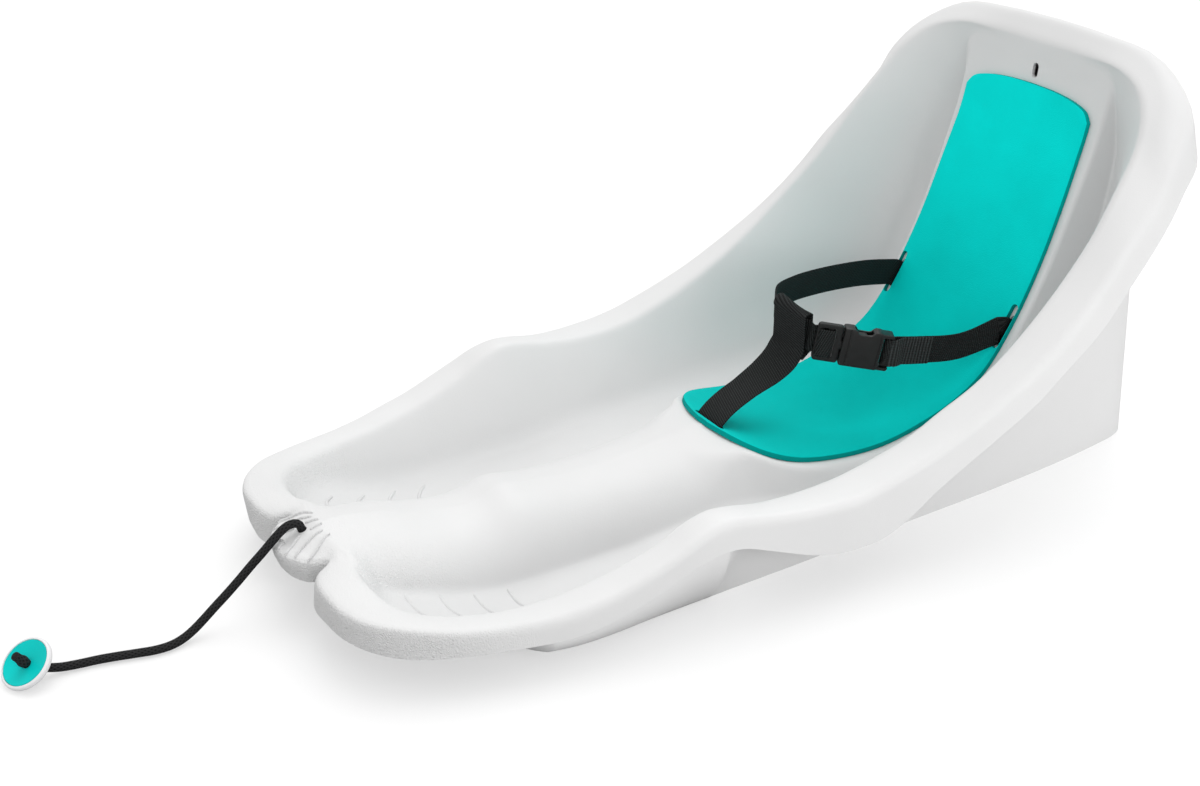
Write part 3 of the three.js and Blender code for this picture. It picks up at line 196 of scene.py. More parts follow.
CREST = [
    [163.5, 699, 301], [150, 716, 324], [112, 734, 348.3], [54, 735, 355], [0, 735, 356.4],
]
TIP_FOOT = [[121, 106, 0.53], [129, 122, 0.6]]
TIP_RISE = [150, 0.26]
# Foot of the outer wall on the ground: across, from the nose, then its lean or the shell's station.
LEG_FOOT = [
    [138, 139, 12.8], [145.4, 159, 13.7], [151.2, 190, 15.1], [151.7, 224, 16.5], [150.6, 254, 18],
    [149.9, 278, 19.3],
]
BOX_FOOT = [
    [149.3, 297, 0.42], [148.6, 316, 0.22], [148.1, 336, 0.08], [146.9, 375, 0], [145, 425, -0.03],
    [142.2, 485, -0.05], [138.9, 571, -0.06], [136, 619, -0.06], [132, 671, -0.06], [126, 720, -0.06],
    [121, 748, -0.065], [113, 763, -0.07], [100, 770, -0.07], [60, 771, -0.07],
]
RIB = [
    [[64, 74.5], [90, 76], [103, 86]],
    [[65, 102], [90, 102.5], [108, 116]],
    [[66, 129.5], [91, 130.5], [112, 145]],
    [[66, 158], [91, 157.5], [112, 172]],
]
RIDGE = [
    [[5.7, 2.4], [3.2, 6], [1.6, 9.3]],
    [[15.2, 4], [10.2, 12], [6, 20]],
    [[22.6, 8.3], [18.3, 15.2], [10.8, 35.9]],
    [[30.2, 15], [29, 19.3], [17, 38.9]],
    [[5, 28], [4.2, 33], [3.6, 38]],
]
RIGHT_ROUTE = [
    [-73, 646, 112], [-68, 600, 122], [-62, 550, 128], [-52, 508, 132], [-38, 480, 134],
    [-18, 467.5, 132], [0, 470, 128], [15, 474.5, 122.5],
]
LEFT_ROUTE = [[53, 534, 108.5], [58, 560, 105], [65, 600, 101.5], [73, 646, 102]]
PLUG_END = [24.5, 474.8, 120.8]
SOCKET_END = [57, 530.2, 110]
CROTCH_ROUTE = [
    [386, 50], [387, 56.5], [393.5, 63.5], [405, 71], [425, 80], [445, 89], [458, 98], [464, 106],
]
LOOP_TOP = [0, 470, 145]
LOOP_DIP = -0.32
BELT_SLOT = [0, 646.5, 112.5]
CROTCH_SLOT = [0, 387, 53]
HANG_SLOT = [0, 719, 311]
NOSE_EXIT = [0, 23.5, 64.2]
PAD_OUTLINE = [
    [379, 6], [383, 27], [389, 43], [398, 58], [411, 68.5], [427, 74], [447, 76], [490, 77],
    [536, 77], [600, 77], [657, 76.5], [696, 75], [708, 73.5],
]
PAD_TOP = [[284, 73], [291, 67], [296, 52], [299, 30], [300, 6]]
ROPE_ROUTE = [
    [0, 21.4, 69.3], [0, 17.5, 71], [0, 12, 70.2], [0, 6, 66.3], [0, -1, 60.3], [0, -8, 54],
    [0, -18, 45.5], [0, -28, 36.5], [0, -38, 28], [0, -48, 20], [0.5, -57, 13], [2, -66, 7.5],
    [4.5, -75, 4.6], [6.5, -84.5, 3.6], [6.5, -95.5, 3.6], [3.5, -108, 3.6], [0, -121, 3.6],
    [-3, -134, 3.6], [-5, -148, 3.7], [-6.5, -160, 4.6], [-7.5, -168.5, 6.8],
]

ACROSS = np.array([1.0, 0.0, 0.0])
UPWARD = np.array([0.0, 0.0, 1.0])


def place(x, y, z):
    return np.array([float(x), y - SLED_LENGTH / 2, float(z)])


def unit(v):
    return v / np.linalg.norm(v)


def length_of(path):
    return sum(np.linalg.norm(b - a) for a, b in zip(path, path[1:]))


# Camera: the photograph's own distance, height and lens.
CAMERA_AT = (0.980, -0.6885, 0.687)
CAMERA_TOWARD = (-0.7672, 0.4561, -0.4511)
camera_data = bpy.data.cameras.new("camera")
camera_data.sensor_fit = "HORIZONTAL"
camera_data.sensor_width = 36
camera_data.lens = 48
camera = bpy.data.objects.new("camera", camera_data)
bpy.context.scene.collection.objects.link(camera)
camera.location = CAMERA_AT
camera.rotation_euler = Vector(CAMERA_TOWARD).to_track_quat("-Z", "Y").to_euler()
bpy.context.scene.camera = camera


class Spline:
    """A centripetal curve through points, open at both ends."""

    def __init__(self, points):
        self.points = [np.array(p, float) for p in points]

    def at(self, t):
        pts = self.points
        last = len(pts) - 1
        p = min(max(t, 0.0), 1.0) * last
        i = min(int(p), last - 1)
        w = p - i
        b, c = pts[i], pts[i + 1]
        a = pts[i - 1] if i > 0 else 2 * b - c
        d = pts[i + 2] if i + 2 <= last else 2 * c - b
        dt0 = np.dot(b - a, b - a) ** 0.25
        dt1 = np.dot(c - b, c - b) ** 0.25
        dt2 = np.dot(d - c, d - c) ** 0.25
        if dt1 < 1e-4:
            dt1 = 1.0
        if dt0 < 1e-4:
            dt0 = dt1
        if dt2 < 1e-4:
            dt2 = dt1
        t1 = ((b - a) / dt0 - (c - a) / (dt0 + dt1) + (c - b) / dt1) * dt1
        t2 = ((c - b) / dt1 - (d - b) / (dt1 + dt2) + (d - c) / dt2) * dt1
        c2 = -3 * b + 3 * c - 2 * t1 - t2
        c3 = 2 * b - 2 * c + t1 + t2
        return b + t1 * w + c2 * w * w + c3 * w * w * w

    def spaced(self, count, samples=400):
        dense = np.array([self.at(k / samples) for k in range(samples + 1)])
        steps = np.linalg.norm(np.diff(dense, axis=0), axis=1)
        along = np.concatenate([[0], np.cumsum(steps)])
        wanted = np.linspace(0, along[-1], count + 1)
        return [np.array([np.interp(w, along, dense[:, k]) for k in range(3)]) for w in wanted]


def mesh_object(name, points, faces, uvs=None, smooth=True, weld=0, middle_only=False):
    """Points in millimetres; uvs are one pair for each point, in millimetres too. Points nearer than weld,
    in metres, become one, and the faces turn outward."""
    mesh = bpy.data.meshes.new(name)
    mesh.from_pydata([tuple(float(v) * MM for v in p) for p in points], [], [tuple(f) for f in faces])
    if uvs is not None:
        layer = mesh.uv_layers.new(name="UVMap")
        for loop in mesh.loops:
            layer.data[loop.index].uv = [float(v) * MM for v in uvs[loop.vertex_index]]
    mesh.validate()
    obj = bpy.data.objects.new(name, mesh)
    bpy.context.scene.collection.objects.link(obj)
    if smooth:
        mesh.shade_smooth()
    bm = bmesh.new()
    bm.from_mesh(mesh)
    if weld:
        verts = [v for v in bm.verts if not middle_only or abs(v.co.x) < weld]
        bmesh.ops.remove_doubles(bm, verts=verts, dist=weld)
    bmesh.ops.recalc_face_normals(bm, faces=bm.faces)
    bm.to_mesh(mesh)
    bm.free()
    return obj


def tube_faces(rows, n, capped=True):
    """Faces between rows of n points each, closed round, with a face over each end."""
    faces = []
    for i in range(rows - 1):
        for k in range(n):
            a, b = i * n + k, i * n + (k + 1) % n
            faces.append([a, b, b + n, a + n])
    if capped:
        faces.append(list(range(n)))
        faces.append([(rows - 1) * n + k for k in reversed(range(n))])
    return faces


def prism(name, points):
    """A solid between two like outlines, one after the other in points."""
    n = len(points) // 2
    faces = [list(range(n)), list(range(2 * n - 1, n - 1, -1))]
    faces += [[k, (k + 1) % n, (k + 1) % n + n, k + n] for k in range(n)]
    return mesh_object(name, points, faces, smooth=False)


def on_circle(turn, a, b):
    """A place on the circle through a and b, turned by a share of a full turn."""
    return math.cos(2 * math.pi * turn) * a + math.sin(2 * math.pi * turn) * b


def applied(obj):
    """Bakes the object's modifiers into its mesh."""
    graph = bpy.context.evaluated_depsgraph_get()
    mesh = bpy.data.meshes.new_from_object(obj.evaluated_get(graph))
    obj.modifiers.clear()
    old = obj.data
    obj.data = mesh
    bpy.data.meshes.remove(old)
    return obj


def cut(obj, cutter, operation="DIFFERENCE"):
    modifier = obj.modifiers.new("cut", "BOOLEAN")
    modifier.operation = operation
    modifier.solver = "EXACT"
    modifier.object = cutter
    bpy.context.view_layer.update()
    applied(obj)
    return obj


def joined(main, *others):
    with bpy.context.temp_override(active_object=main, object=main, selected_objects=[main, *others],
                                   selected_editable_objects=[main, *others]):
        bpy.ops.object.join()
    return main


def discard(*objs):
    for o in objs:
        bpy.data.objects.remove(o)


def sharp(obj, degrees):
    obj.data.shade_smooth()
    obj.data.set_sharp_from_angle(angle=math.radians(degrees))


def rounded(obj, width, segments, degrees=30):
    """Rounds the object's sharp edges."""
    modifier = obj.modifiers.new("round", "BEVEL")
    modifier.width = width * MM
    modifier.segments = segments
    modifier.limit_method = "ANGLE"
    modifier.angle_limit = math.radians(degrees)
    modifier.use_clamp_overlap = True
    bpy.context.view_layer.update()
    return applied(obj)


def frame_at(origin, x_axis, z_hint):
    x = unit(np.array(x_axis, float))
    y = unit(np.cross(z_hint, x))
    z = np.cross(x, y)
    return np.array([x, y, z]).T, np.array(origin, float)


def box_object(name, frame_pair, x0, x1, y0, y1, z0, z1):
    turn, origin = frame_pair
    corners = [(x, y, z) for x in (x0, x1) for y in (y0, y1) for z in (z0, z1)]
    points = [turn @ np.array(c) + origin for c in corners]
    faces = [(0, 1, 3, 2), (4, 6, 7, 5), (0, 4, 5, 1), (2, 3, 7, 6), (0, 2, 6, 4), (1, 5, 7, 3)]
    return mesh_object(name, points, faces, smooth=False)


# Materials.
class Graph:
    """The nodes of a material or of the world. Each call adds one node and gives its output."""

    def __init__(self, tree):
        self.nodes, self.links = tree.nodes, tree.links

    def put(self, socket, value):
        if isinstance(value, bpy.types.NodeSocket):
            self.links.new(value, socket)
        else:
            socket.default_value = value

    def surface(self, name, value):
        self.put(self.nodes["Principled BSDF"].inputs[name], value)

    def add(self, kind, output, inputs, operation=None):
        node = self.nodes.new("ShaderNode" + kind)
        if operation:
            node.operation = operation
        for key, value in inputs.items():
            self.put(node.inputs[key], value)
        return node.outputs[output]

    def object_space(self, scale=(1, 1, 1)):
        return self.add("Mapping", "Vector", {"Vector": self.add("TexCoord", "Object", {}), "Scale": scale})

    def axes(self, vector):
        node = self.nodes.new("ShaderNodeSeparateXYZ")
        self.put(node.inputs["Vector"], vector)
        return node.outputs

    def noise(self, vector, scale, detail=2.0):
        return self.add("TexNoise", "Fac", {"Vector": vector, "Scale": scale, "Detail": detail})

    def ramp(self, value, low_at, low, high_at, high):
        node = self.nodes.new("ShaderNodeValToRGB")
        for element, position, color in zip(node.color_ramp.elements, (low_at, high_at), (low, high)):
            element.position = position
            element.color = (*color, 1)
        self.put(node.inputs["Fac"], value)
        return node.outputs["Color"]

    def remap(self, value, low, high, to_low, to_high):
        limits = {"From Min": low, "From Max": high, "To Min": to_low, "To Max": to_high}
        return self.add("MapRange", "Result", {**limits, "Value": value})

    def maths(self, operation, a, b=None):
        return self.add("Math", 0, {0: a} if b is None else {0: a, 1: b}, operation)

    def bump(self, height, strength, distance):
        relief = {"Strength": strength, "Distance": distance, "Height": height}
        self.surface("Normal", self.add("Bump", "Normal", relief))


def new_material(name, color, roughness, specular=0.5):
    material = bpy.data.materials.new(name)
    material.use_nodes = True
    graph = Graph(material.node_tree)
    graph.surface("Base Color", (*color, 1))
    graph.surface("Roughness", roughness)
    graph.surface("Specular IOR Level", specular)
    return material, graph


def gray(value):
    return (value, value, value)


def plastic_material(name, low, high, roughness, grain, depth, specular=0.3):
    material, graph = new_material(name, high, roughness, specular)
    vector = graph.object_space()
    graph.surface("Base Color", graph.ramp(graph.noise(vector, 9, 3), 0.3, low, 0.7, high))
    gloss = graph.noise(vector, 40, 3)
    graph.surface("Roughness", graph.remap(gloss, 0.3, 0.7, roughness - 0.04, roughness + 0.06))
    graph.bump(graph.noise(vector, grain), 0.25, depth)
    return material


def shell_material():
    material, graph = new_material("moulded_white", gray(0.7), 0.4, 0.3)
    vector = graph.object_space()
    graph.surface("Base Color", graph.ramp(graph.noise(vector, 7, 3), 0.3, gray(0.685), 0.7, gray(0.715)))
    graph.surface("Roughness", graph.remap(graph.noise(vector, 35, 3), 0.3, 0.7, 0.44, 0.56))
    # The upright faces of the nose and the toe ends are grained; the rest is nearly smooth.
    front = graph.remap(graph.axes(vector)["Y"], -0.25, -0.33, 0.0, 1.0)
    facing = graph.axes(graph.add("TexCoord", "Normal", {}))
    upright = graph.remap(facing["Z"], 0.9, 0.4, 0.12, 1.0)
    grained = graph.maths("ADD", graph.maths("MULTIPLY", front, upright), 0.04)
    graph.bump(graph.maths("MULTIPLY", graph.noise(vector, 800), grained), 1.0, 0.0018)
    return material


def foam_material(name, low, high):
    material, graph = new_material(name, high, 0.8, 0.05)
    vector = graph.object_space()
    tint = graph.ramp(graph.noise(vector, 14, 3), 0.3, low, 0.7, high)
    # The foam is painted darker low in the seat than at the top of the back: painted shade where the seat lies
    # deep.
    shade = graph.remap(graph.axes(vector)["Z"], 0.035, 0.26, 0.74, 1.06)
    graph.surface("Base Color", graph.add("VectorMath", "Vector", {0: tint, "Scale": shade}, "SCALE"))
    cells = graph.add("TexVoronoi", "Distance", {"Scale": 1300, "Vector": vector})
    graph.bump(graph.maths("ADD", cells, graph.noise(vector, 700, 3)), 0.35, 0.0004)
    return material


def weave_material(name, rib, depth, highlight_gain, slant):
    """Woven webbing: ribs along the strap, slanted by a share, and a fine twill across it, from its own map."""
    material, graph = new_material(name, (0.012, 0.012, 0.013), 0.75, 0.12)
    place_on_map = graph.axes(graph.add("TexCoord", "UV", {}))
    along = graph.maths("MULTIPLY", place_on_map["Y"], 2 * math.pi / rib)
    across = graph.maths("MULTIPLY", place_on_map["X"], 2 * math.pi / 0.0016)
    ribs = graph.maths("SINE", graph.maths("ADD", along, graph.maths("MULTIPLY", across, slant)))
    threads = graph.maths("MULTIPLY", graph.maths("SINE", across), 0.5)
    height = graph.maths("ADD", ribs, threads)
    fuzz = graph.noise(graph.object_space(), 900)
    # The level paints the weave's crests lighter and its hollows darker: painted highlight and painted shade,
    # with a little random tone from the fuzz.
    level = graph.remap(graph.maths("ADD", height, fuzz), -1.5, 2.5, 0.0, 1.0)
    crest_highlight = (0.019 * highlight_gain, 0.021 * highlight_gain, 0.021 * highlight_gain)
    graph.surface("Base Color", graph.ramp(level, 0.1, gray(0.001), 0.9, crest_highlight))
    graph.bump(height, depth, 0.0004)
    return material


def rope_material():
    """Braid: two families of strands that cross on the rope's own map."""
    material, graph = new_material("braided_rope", (0.013, 0.013, 0.014), 0.7, 0.15)
    place_on_map = graph.axes(graph.add("TexCoord", "UV", {}))
    around = graph.maths("MULTIPLY", place_on_map["X"], 2 * math.pi * 8)
    along = graph.maths("MULTIPLY", place_on_map["Y"], 2 * math.pi / 0.0045)
    strands = [graph.maths("SINE", graph.maths(way, along, around)) for way in ("ADD", "SUBTRACT")]
    height = graph.maths("MAXIMUM", *strands)
    # The strands' crests are painted lighter and the hollows between them darker: painted highlight and painted
    # shade.
    level = graph.remap(height, -1, 1, 0.0, 1.0)
    graph.surface("Base Color", graph.ramp(level, 0.1, gray(0.002), 0.9, (0.022, 0.022, 0.023)))
    graph.bump(height, 0.7, 0.0005)
    return material


def steel_material():
    material, graph = new_material("plain_steel", (0.5, 0.51, 0.52), 0.35)
    graph.surface("Metallic", 1.0)
    brushed = graph.noise(graph.object_space((40, 40, 400)), 8, 4)
    graph.surface("Roughness", graph.remap(brushed, 0.3, 0.7, 0.25, 0.5))
    graph.bump(brushed, 0.2, 0.0001)
    return material


moulded_white = shell_material()
teal_foam = foam_material("teal_foam", (0.0, 0.65, 0.605), (0.0, 0.73, 0.68))
# A darker copy of the teal foam for the pad's sides, ends and slot walls: painted shade.
teal_edge_painted_shade = foam_material("teal_edge_painted_shade", (0.0, 0.34, 0.31), (0.0, 0.38, 0.345))
webbing = weave_material("webbing", 0.0021, 0.8, 1.7, 0.25)
ribbed_webbing = weave_material("ribbed_webbing", 0.0031, 0.6, 3.0, 0.0)
braided = rope_material()
black_plastic = plastic_material("black_plastic", gray(0.004), gray(0.008), 0.35, 600, 0.0002)
disc_white = plastic_material("disc_white", (0.74, 0.74, 0.75), (0.79, 0.79, 0.80), 0.42, 500, 0.0002)
face_teal = plastic_material("face_teal", (0.0, 0.50, 0.47), (0.0, 0.60, 0.57), 0.5, 900, 0.0004, 0.1)
steel = steel_material()


def finish_piece(obj, material, body, slot, *nodes):
    obj.data.materials.clear()
    obj.data.materials.append(material)
    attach(obj, body)
    if nodes:
        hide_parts(*nodes)
    return obj


# The pull rope, from the nose's hole to the back of the disc.
nose_exit = place(*NOSE_EXIT)
rope_axis = unit(np.array([0.0, -ROPE_LEAN, 1.0]))
rope_start = nose_exit + rope_axis * (STUB_RISE + REST_GAP)
disc_tilt = unit(np.array(DISC_TILT))
disc_centre = place(*DISC_PLACE)


def swept(name, path, radius_at, sides):
    """A round tube along a path; its map runs once round it and along it in millimetres."""
    path = [np.array(p, float) for p in path]
    tangents = [unit(path[min(i + 1, len(path) - 1)] - path[max(i - 1, 0)]) for i in range(len(path))]
    side = unit(np.cross(tangents[0], ACROSS if abs(tangents[0][0]) < 0.9 else UPWARD))
    points, uvs, faces = [], [], []
    run = 0.0
    for i, (p, t) in enumerate(zip(path, tangents)):
        side = unit(side - np.dot(side, t) * t)
        other = np.cross(t, side)
        run += np.linalg.norm(p - path[max(i - 1, 0)])
        for k in range(sides + 1):
            points.append(p + radius_at(i) * on_circle(k / sides, side, other))
            uvs.append((k / sides / MM, run))
    row = sides + 1
    for i in range(len(path) - 1):
        for k in range(sides):
            a = i * row + k
            faces.append((a, a + 1, a + 1 + row, a + row))
    for i in (0, len(path) - 1):
        points.append(path[i])
        uvs.append((0, 0))
        for k in range(sides):
            a = i * row + k
            faces.append((a, a + 1, len(points) - 1))
    return mesh_object(name, points, faces, uvs, weld=WELD)


disc_back = disc_centre - disc_tilt * (DISC_THICKNESS / 2 + REST_GAP)
rope_points = [rope_start] + [place(x, y, z) for x, y, z in ROPE_ROUTE]
rope_points += [disc_back - disc_tilt * (ROPE_DIAMETER / 3), disc_back]
rope_path = Spline(rope_points).spaced(ROPE_STEPS)
pull_rope = swept("rope", rope_path, lambda i: ROPE_DIAMETER / 2, ROPE_SIDES)
finish_piece(pull_rope, braided, "sled", "rope", "pull_rope")


# The shell's surface, from the guide curves.
def smoothstep(w):
    w = min(max(w, 0.0), 1.0)
    return w * w * (3 - 2 * w)


def bezier(a, b, c, t):
    return (1 - t) ** 2 * a + 2 * t * (1 - t) * b + t * t * c


def corner_rounds(station):
    """Reach of each corner's rounding: the hump is a full dome, the grooves by the back are crisp."""
    seat, back, trough = (smoothstep((station - first) / (last - first))
                          for first, last in (SEAT_STATIONS, BACK_STATIONS, TROUGH_STATIONS))
    edge = SHOULDER_ROUND + (SEAT_ROUND - SHOULDER_ROUND) * math.sqrt(seat)
    edge += (BACK_ROUND - SEAT_ROUND) * back
    inner = INNER_FOOT_ROUND + (BACK_ROUND - INNER_FOOT_ROUND) * max(back, trough * (1 - seat))
    return [0, edge, inner, OUTER_FOOT_ROUND, RIM_ROUND, CREST_ROUND, CREASE_ROUND, 0]


# The crest runs between rim and crease, and has rows of its own at the top.
crest_points = [(place(*rim) + place(*crease)) / 2 + np.array([0, 0, RIM_CROWN])
                for rim, crease in zip(RIM[:-len(CREST)], CREASE)]
crest_points += [place(*row) for row in CREST]
tables = ([(0, y, z) for y, z in SPINE], EDGE, INNER_FOOT, OUTER_FOOT, RIM, CREASE, LIP)
guides = [Spline([place(*row) for row in table]) for table in tables]
guides.insert(tables.index(CREASE), Spline(crest_points))
LAST_STATION = len(SPINE) - 1
CORNER_STEPS = [1, 19, 6, 8, 6, 8, 8, 1]
FLAT_STEPS = [3, 2, 3, 5, 2, 2, 3]
TRIM_SHARE = 0.42
SHOULDER_TRIM = 0.74
FOOT_TRIM = 0.18
ROWS_PER_STATION = 4


def station_line(station):
    t = min(station / LAST_STATION, 1.0)
    corners = [guide.at(t) for guide in guides]
    corners[0][0] = 0
    if station <= 0 or station >= LAST_STATION:
        for corner in corners:
            corner[0] = 0
    rounds = corner_rounds(station)
    groups = []
    for i, corner in enumerate(corners):
        if CORNER_STEPS[i] == 1:
            groups.append([corner])
            continue
        back = corners[i - 1] - corner
        ahead = corners[i + 1] - corner
        trim = SHOULDER_TRIM if i == 1 else TRIM_SHARE
        back_trim = FOOT_TRIM if i == 2 else trim
        back_length, ahead_length = max(np.linalg.norm(back), 1e-9), max(np.linalg.norm(ahead), 1e-9)
        from_point = corner + back * min(rounds[i] / back_length, back_trim)
        to_point = corner + ahead * min(rounds[i] / ahead_length, trim)
        last = CORNER_STEPS[i] - 1
        groups.append([bezier(from_point, corner, to_point, k / last) for k in range(last + 1)])
    line = []
    for i, group in enumerate(groups):
        line.extend(group)
        if i + 1 < len(groups):
            start, end = group[-1], groups[i + 1][0]
            for k in range(1, FLAT_STEPS[i] + 1):
                line.append(start + (end - start) * k / (FLAT_STEPS[i] + 1))
    return line


stations = [k / ROWS_PER_STATION for k in range(LAST_STATION * ROWS_PER_STATION + 1)]
lines = [station_line(s) for s in stations]
columns = len(lines[0])
skin_points, skin_faces, skin_ids = [], [], {}


def skin_id(side, row, column):
    middle = column == 0 or row == 0 or row == len(lines) - 1
    key = (0 if middle else side, row, column)
    if key not in skin_ids:
        p = lines[row][column]
        skin_ids[key] = len(skin_points)
        skin_points.append(np.array([0 if middle else side * p[0], p[1], p[2]]))
    return skin_ids[key]


for side in (1, -1):
    for row in range(len(lines) - 1):
        for column in range(columns - 1):
            a = skin_id(side, row, column)
            b = skin_id(side, row, column + 1)
            c = skin_id(side, row + 1, column + 1)
            d = skin_id(side, row + 1, column)
            quad = [a, b, c, d] if side > 0 else [a, d, c, b]
            kept = [v for k, v in enumerate(quad) if v != quad[k - 1]]
            if len(set(kept)) >= 3:
                skin_faces.append(kept)
skin_points = np.array(skin_points)
skin_normals = np.zeros_like(skin_points)
for face in skin_faces:
    corner = skin_points[face]
    across = corner[-1] - corner[1] if len(face) == 4 else corner[2] - corner[0]
    skin_normals[face] += np.cross(corner[2] - corner[0] if len(face) == 4 else corner[1] - corner[0], across)
skin_normals[skin_points[:, 0] == 0, 0] = 0
skin_normals /= np.maximum(np.linalg.norm(skin_normals, axis=1), 1e-12)[:, None]
border = [skin_id(1, row, columns - 1) for row in range(len(lines))]
border += [skin_id(-1, row, columns - 1) for row in range(len(lines) - 2, 0, -1)]


def skin_tree(distance):
    moved = skin_points + skin_normals * distance
    return BVHTree.FromPolygons([Vector(p) for p in moved], skin_faces)


ABOVE_ALL = 600
upper_tree = skin_tree(0)
middle_tree = skin_tree(-WALL / 2)


def onto_skin(x, y):
    """Point and normal of the shell's upper surface at a place."""
    hit = upper_tree.ray_cast(Vector((x, y, ABOVE_ALL)), Vector((0, 0, -1)))
    return hit[0], hit[1]


def shell_object():
    count = len(skin_points)
    under = skin_points - skin_normals * WALL
    under[:, 2] = np.maximum(under[:, 2], 0)
    faces = [list(f) for f in skin_faces] + [[v + count for v in reversed(f)] for f in skin_faces]
    for i, a in enumerate(border):
        b = border[(i + 1) % len(border)]
        faces.append([a, a + count, b + count, b])
    return mesh_object("shell", np.vstack([skin_points, under]), faces)


BOX_UP_STEPS = 14
BOX_LOOK = 0.05
BOX_START_CLEAR = 2
BOX_OPEN_TOP = 30
BOX_LIP_LAP = 0.05
BOX_ALONG_STEPS = 5
TUCK_SHARE = 0.45


def box_wall_object():
    """The wall of the outer box. Along the legs it carries the rim's outer face on down to the foot;
    behind and ahead of them it stands under the rim."""
    rows = [(place(x, y, 0), lean, None) for x, y, lean in TIP_FOOT]
    rows += [(place(x, y, 0), None, station) for x, y, station in LEG_FOOT]
    rows += [(place(x, y, 0), lean, None) for x, y, lean in BOX_FOOT]
    rows.append((place(0, BOX_FOOT[-1][1], 0), BOX_FOOT[-1][2], None))
    first, last = len(TIP_FOOT), len(TIP_FOOT) + len(LEG_FOOT) - 1
    count = len(rows) - 1
    path = Spline([r[0] for r in rows])
    stations_at = [LEG_FOOT[min(max(i - first, 0), last - first)][2] for i in range(len(rows))]

    def lean_at(i):
        at, lean, station = rows[i]
        if lean is not None:
            return lean
        lip = guides[-1].at(station / LAST_STATION)
        return (lip[0] - at[0]) / lip[2]

    outer, inner = [], []
    for k in range(count * BOX_ALONG_STEPS + 1):
        t = k / BOX_ALONG_STEPS
        i = min(int(t), count - 1)
        w = t - i
        at = path.at(t / count)
        along = unit(path.at(min((t + BOX_LOOK) / count, 1.0)) - path.at(max((t - BOX_LOOK) / count, 0.0)))
        out = unit(np.array([along[1], -along[0], 0]))
        if k == count * BOX_ALONG_STEPS:
            out = np.array([0.0, 1.0, 0.0])
            at[0] = 0
        lean = lean_at(i) * (1 - w) + lean_at(i + 1) * w
        rise = max(0.0, TIP_RISE[0] - SLED_LENGTH / 2 - at[1]) * TIP_RISE[1]
        direction = unit(out * lean + UPWARD)
        station = stations_at[i] * (1 - w) + stations_at[i + 1] * w
        lip = guides[-1].at(station / LAST_STATION)
        legness = smoothstep(t - first + 1) * smoothstep(last + 1 - t)
        for store, inset in ((outer, 0.0), (inner, WALL)):
            foot = at - out * inset + direction * (rise / direction[2])
            hit = middle_tree.ray_cast(Vector(foot + direction * BOX_START_CLEAR), Vector(direction))[0]
            top = np.array(hit) if hit is not None else foot + direction * BOX_OPEN_TOP
            lip_at = lip - out * (inset - BOX_LIP_LAP)
            knee = lip_at - UPWARD * (lip_at[2] * TUCK_SHARE)
            column = []
            for j in range(BOX_UP_STEPS + 1):
                v = j / BOX_UP_STEPS
                straight, curved = foot + (top - foot) * v, bezier(foot, knee, lip_at, v)
                column.append(straight * (1 - legness) + curved * legness)
            store.append(column)
    points, faces, grids = [], [], []
    for grid in (outer, inner):
        ids = []
        for column in grid:
            ids.append(list(range(len(points), len(points) + len(column))))
            points.extend(column)
        grids.append(ids)
    out_ids, in_ids = grids
    for i in range(len(out_ids) - 1):
        for j in range(BOX_UP_STEPS):
            for grid in grids:
                faces.append([grid[i][j], grid[i + 1][j], grid[i + 1][j + 1], grid[i][j + 1]])
        faces.append([out_ids[i][0], in_ids[i][0], in_ids[i + 1][0], out_ids[i + 1][0]])
        faces.append([out_ids[i][-1], in_ids[i][-1], in_ids[i + 1][-1], out_ids[i + 1][-1]])
    for j in range(BOX_UP_STEPS):
        faces.append([out_ids[0][j], out_ids[0][j + 1], in_ids[0][j + 1], in_ids[0][j]])
    total = len(points)
    points += [p * np.array([-1, 1, 1]) for p in points]
    faces += [[v + total for v in reversed(f)] for f in faces]
    return mesh_object("box_wall", points, faces, weld=MIDDLE_WELD, middle_only=True)


def ridge_object(name, run, width, height, steps=24):
    """A raised line on the shell through places given across and along, with rounded ends."""
    path = Spline([[x, y, 0] for x, y in run]).spaced(steps)
    section = [(-1, -0.6), (-1, -0.1), (-0.8, 0.4), (-0.45, 0.85), (0, 1), (0.45, 0.85), (0.8, 0.4), (1, -0.1),
               (1, -0.6)]
    points = []
    for i, p in enumerate(path):
        along = unit(path[min(i + 1, steps)] - path[max(i - 1, 0)])
        side = np.array([-along[1], along[0], 0])
        end = min(i, steps - i) / 3
        taper = math.sqrt(1 - (1 - min(end, 1.0)) ** 2) * 0.9 + 0.1
        for s, h in section:
            q = p + side * (s * width / 2 * taper)
            hit, normal = onto_skin(q[0], q[1])
            if hit is None:
                hit, normal = onto_skin(p[0], p[1])
            rise = height * h * taper if h > 0 else h
            points.append(np.array(hit) + np.array(normal) * rise)
    return mesh_object(name, points, tube_faces(steps + 1, len(section)))


seat_line = [np.array(line[0]) for line in lines]


def seat_at_height(z):
    for i in range(len(seat_line) - 1, 0, -1):
        low, high = seat_line[i - 1], seat_line[i]
        if low[2] <= z <= high[2]:
            return low + (high - low) * (z - low[2]) / (high[2] - low[2]), unit(high - low)
    return seat_line[-1], UPWARD


def seat_at_place(y):
    for i in range(1, len(seat_line)):
        low, high = seat_line[i - 1], seat_line[i]
        if y <= high[1]:
            return low + (high - low) * (y - low[1]) / (high[1] - low[1]), unit(high - low)
    return seat_line[-1], UPWARD


def belt_slot_frame(side, drop=0.0):
    at, along = seat_at_height(float(BELT_SLOT[2]))
    out = unit(np.cross(ACROSS, along))
    origin = np.array([side * SLOT_HALF_SPAN, at[1], at[2]]) - along * drop
    return frame_at(origin, out, along)


crotch_frame = frame_at(place(*CROTCH_SLOT), UPWARD, ACROSS)
hang_frame = frame_at(place(*HANG_SLOT), [0, -1, 0], UPWARD)
SLOT_DEPTH = 8 * WALL
END_STEPS = 8


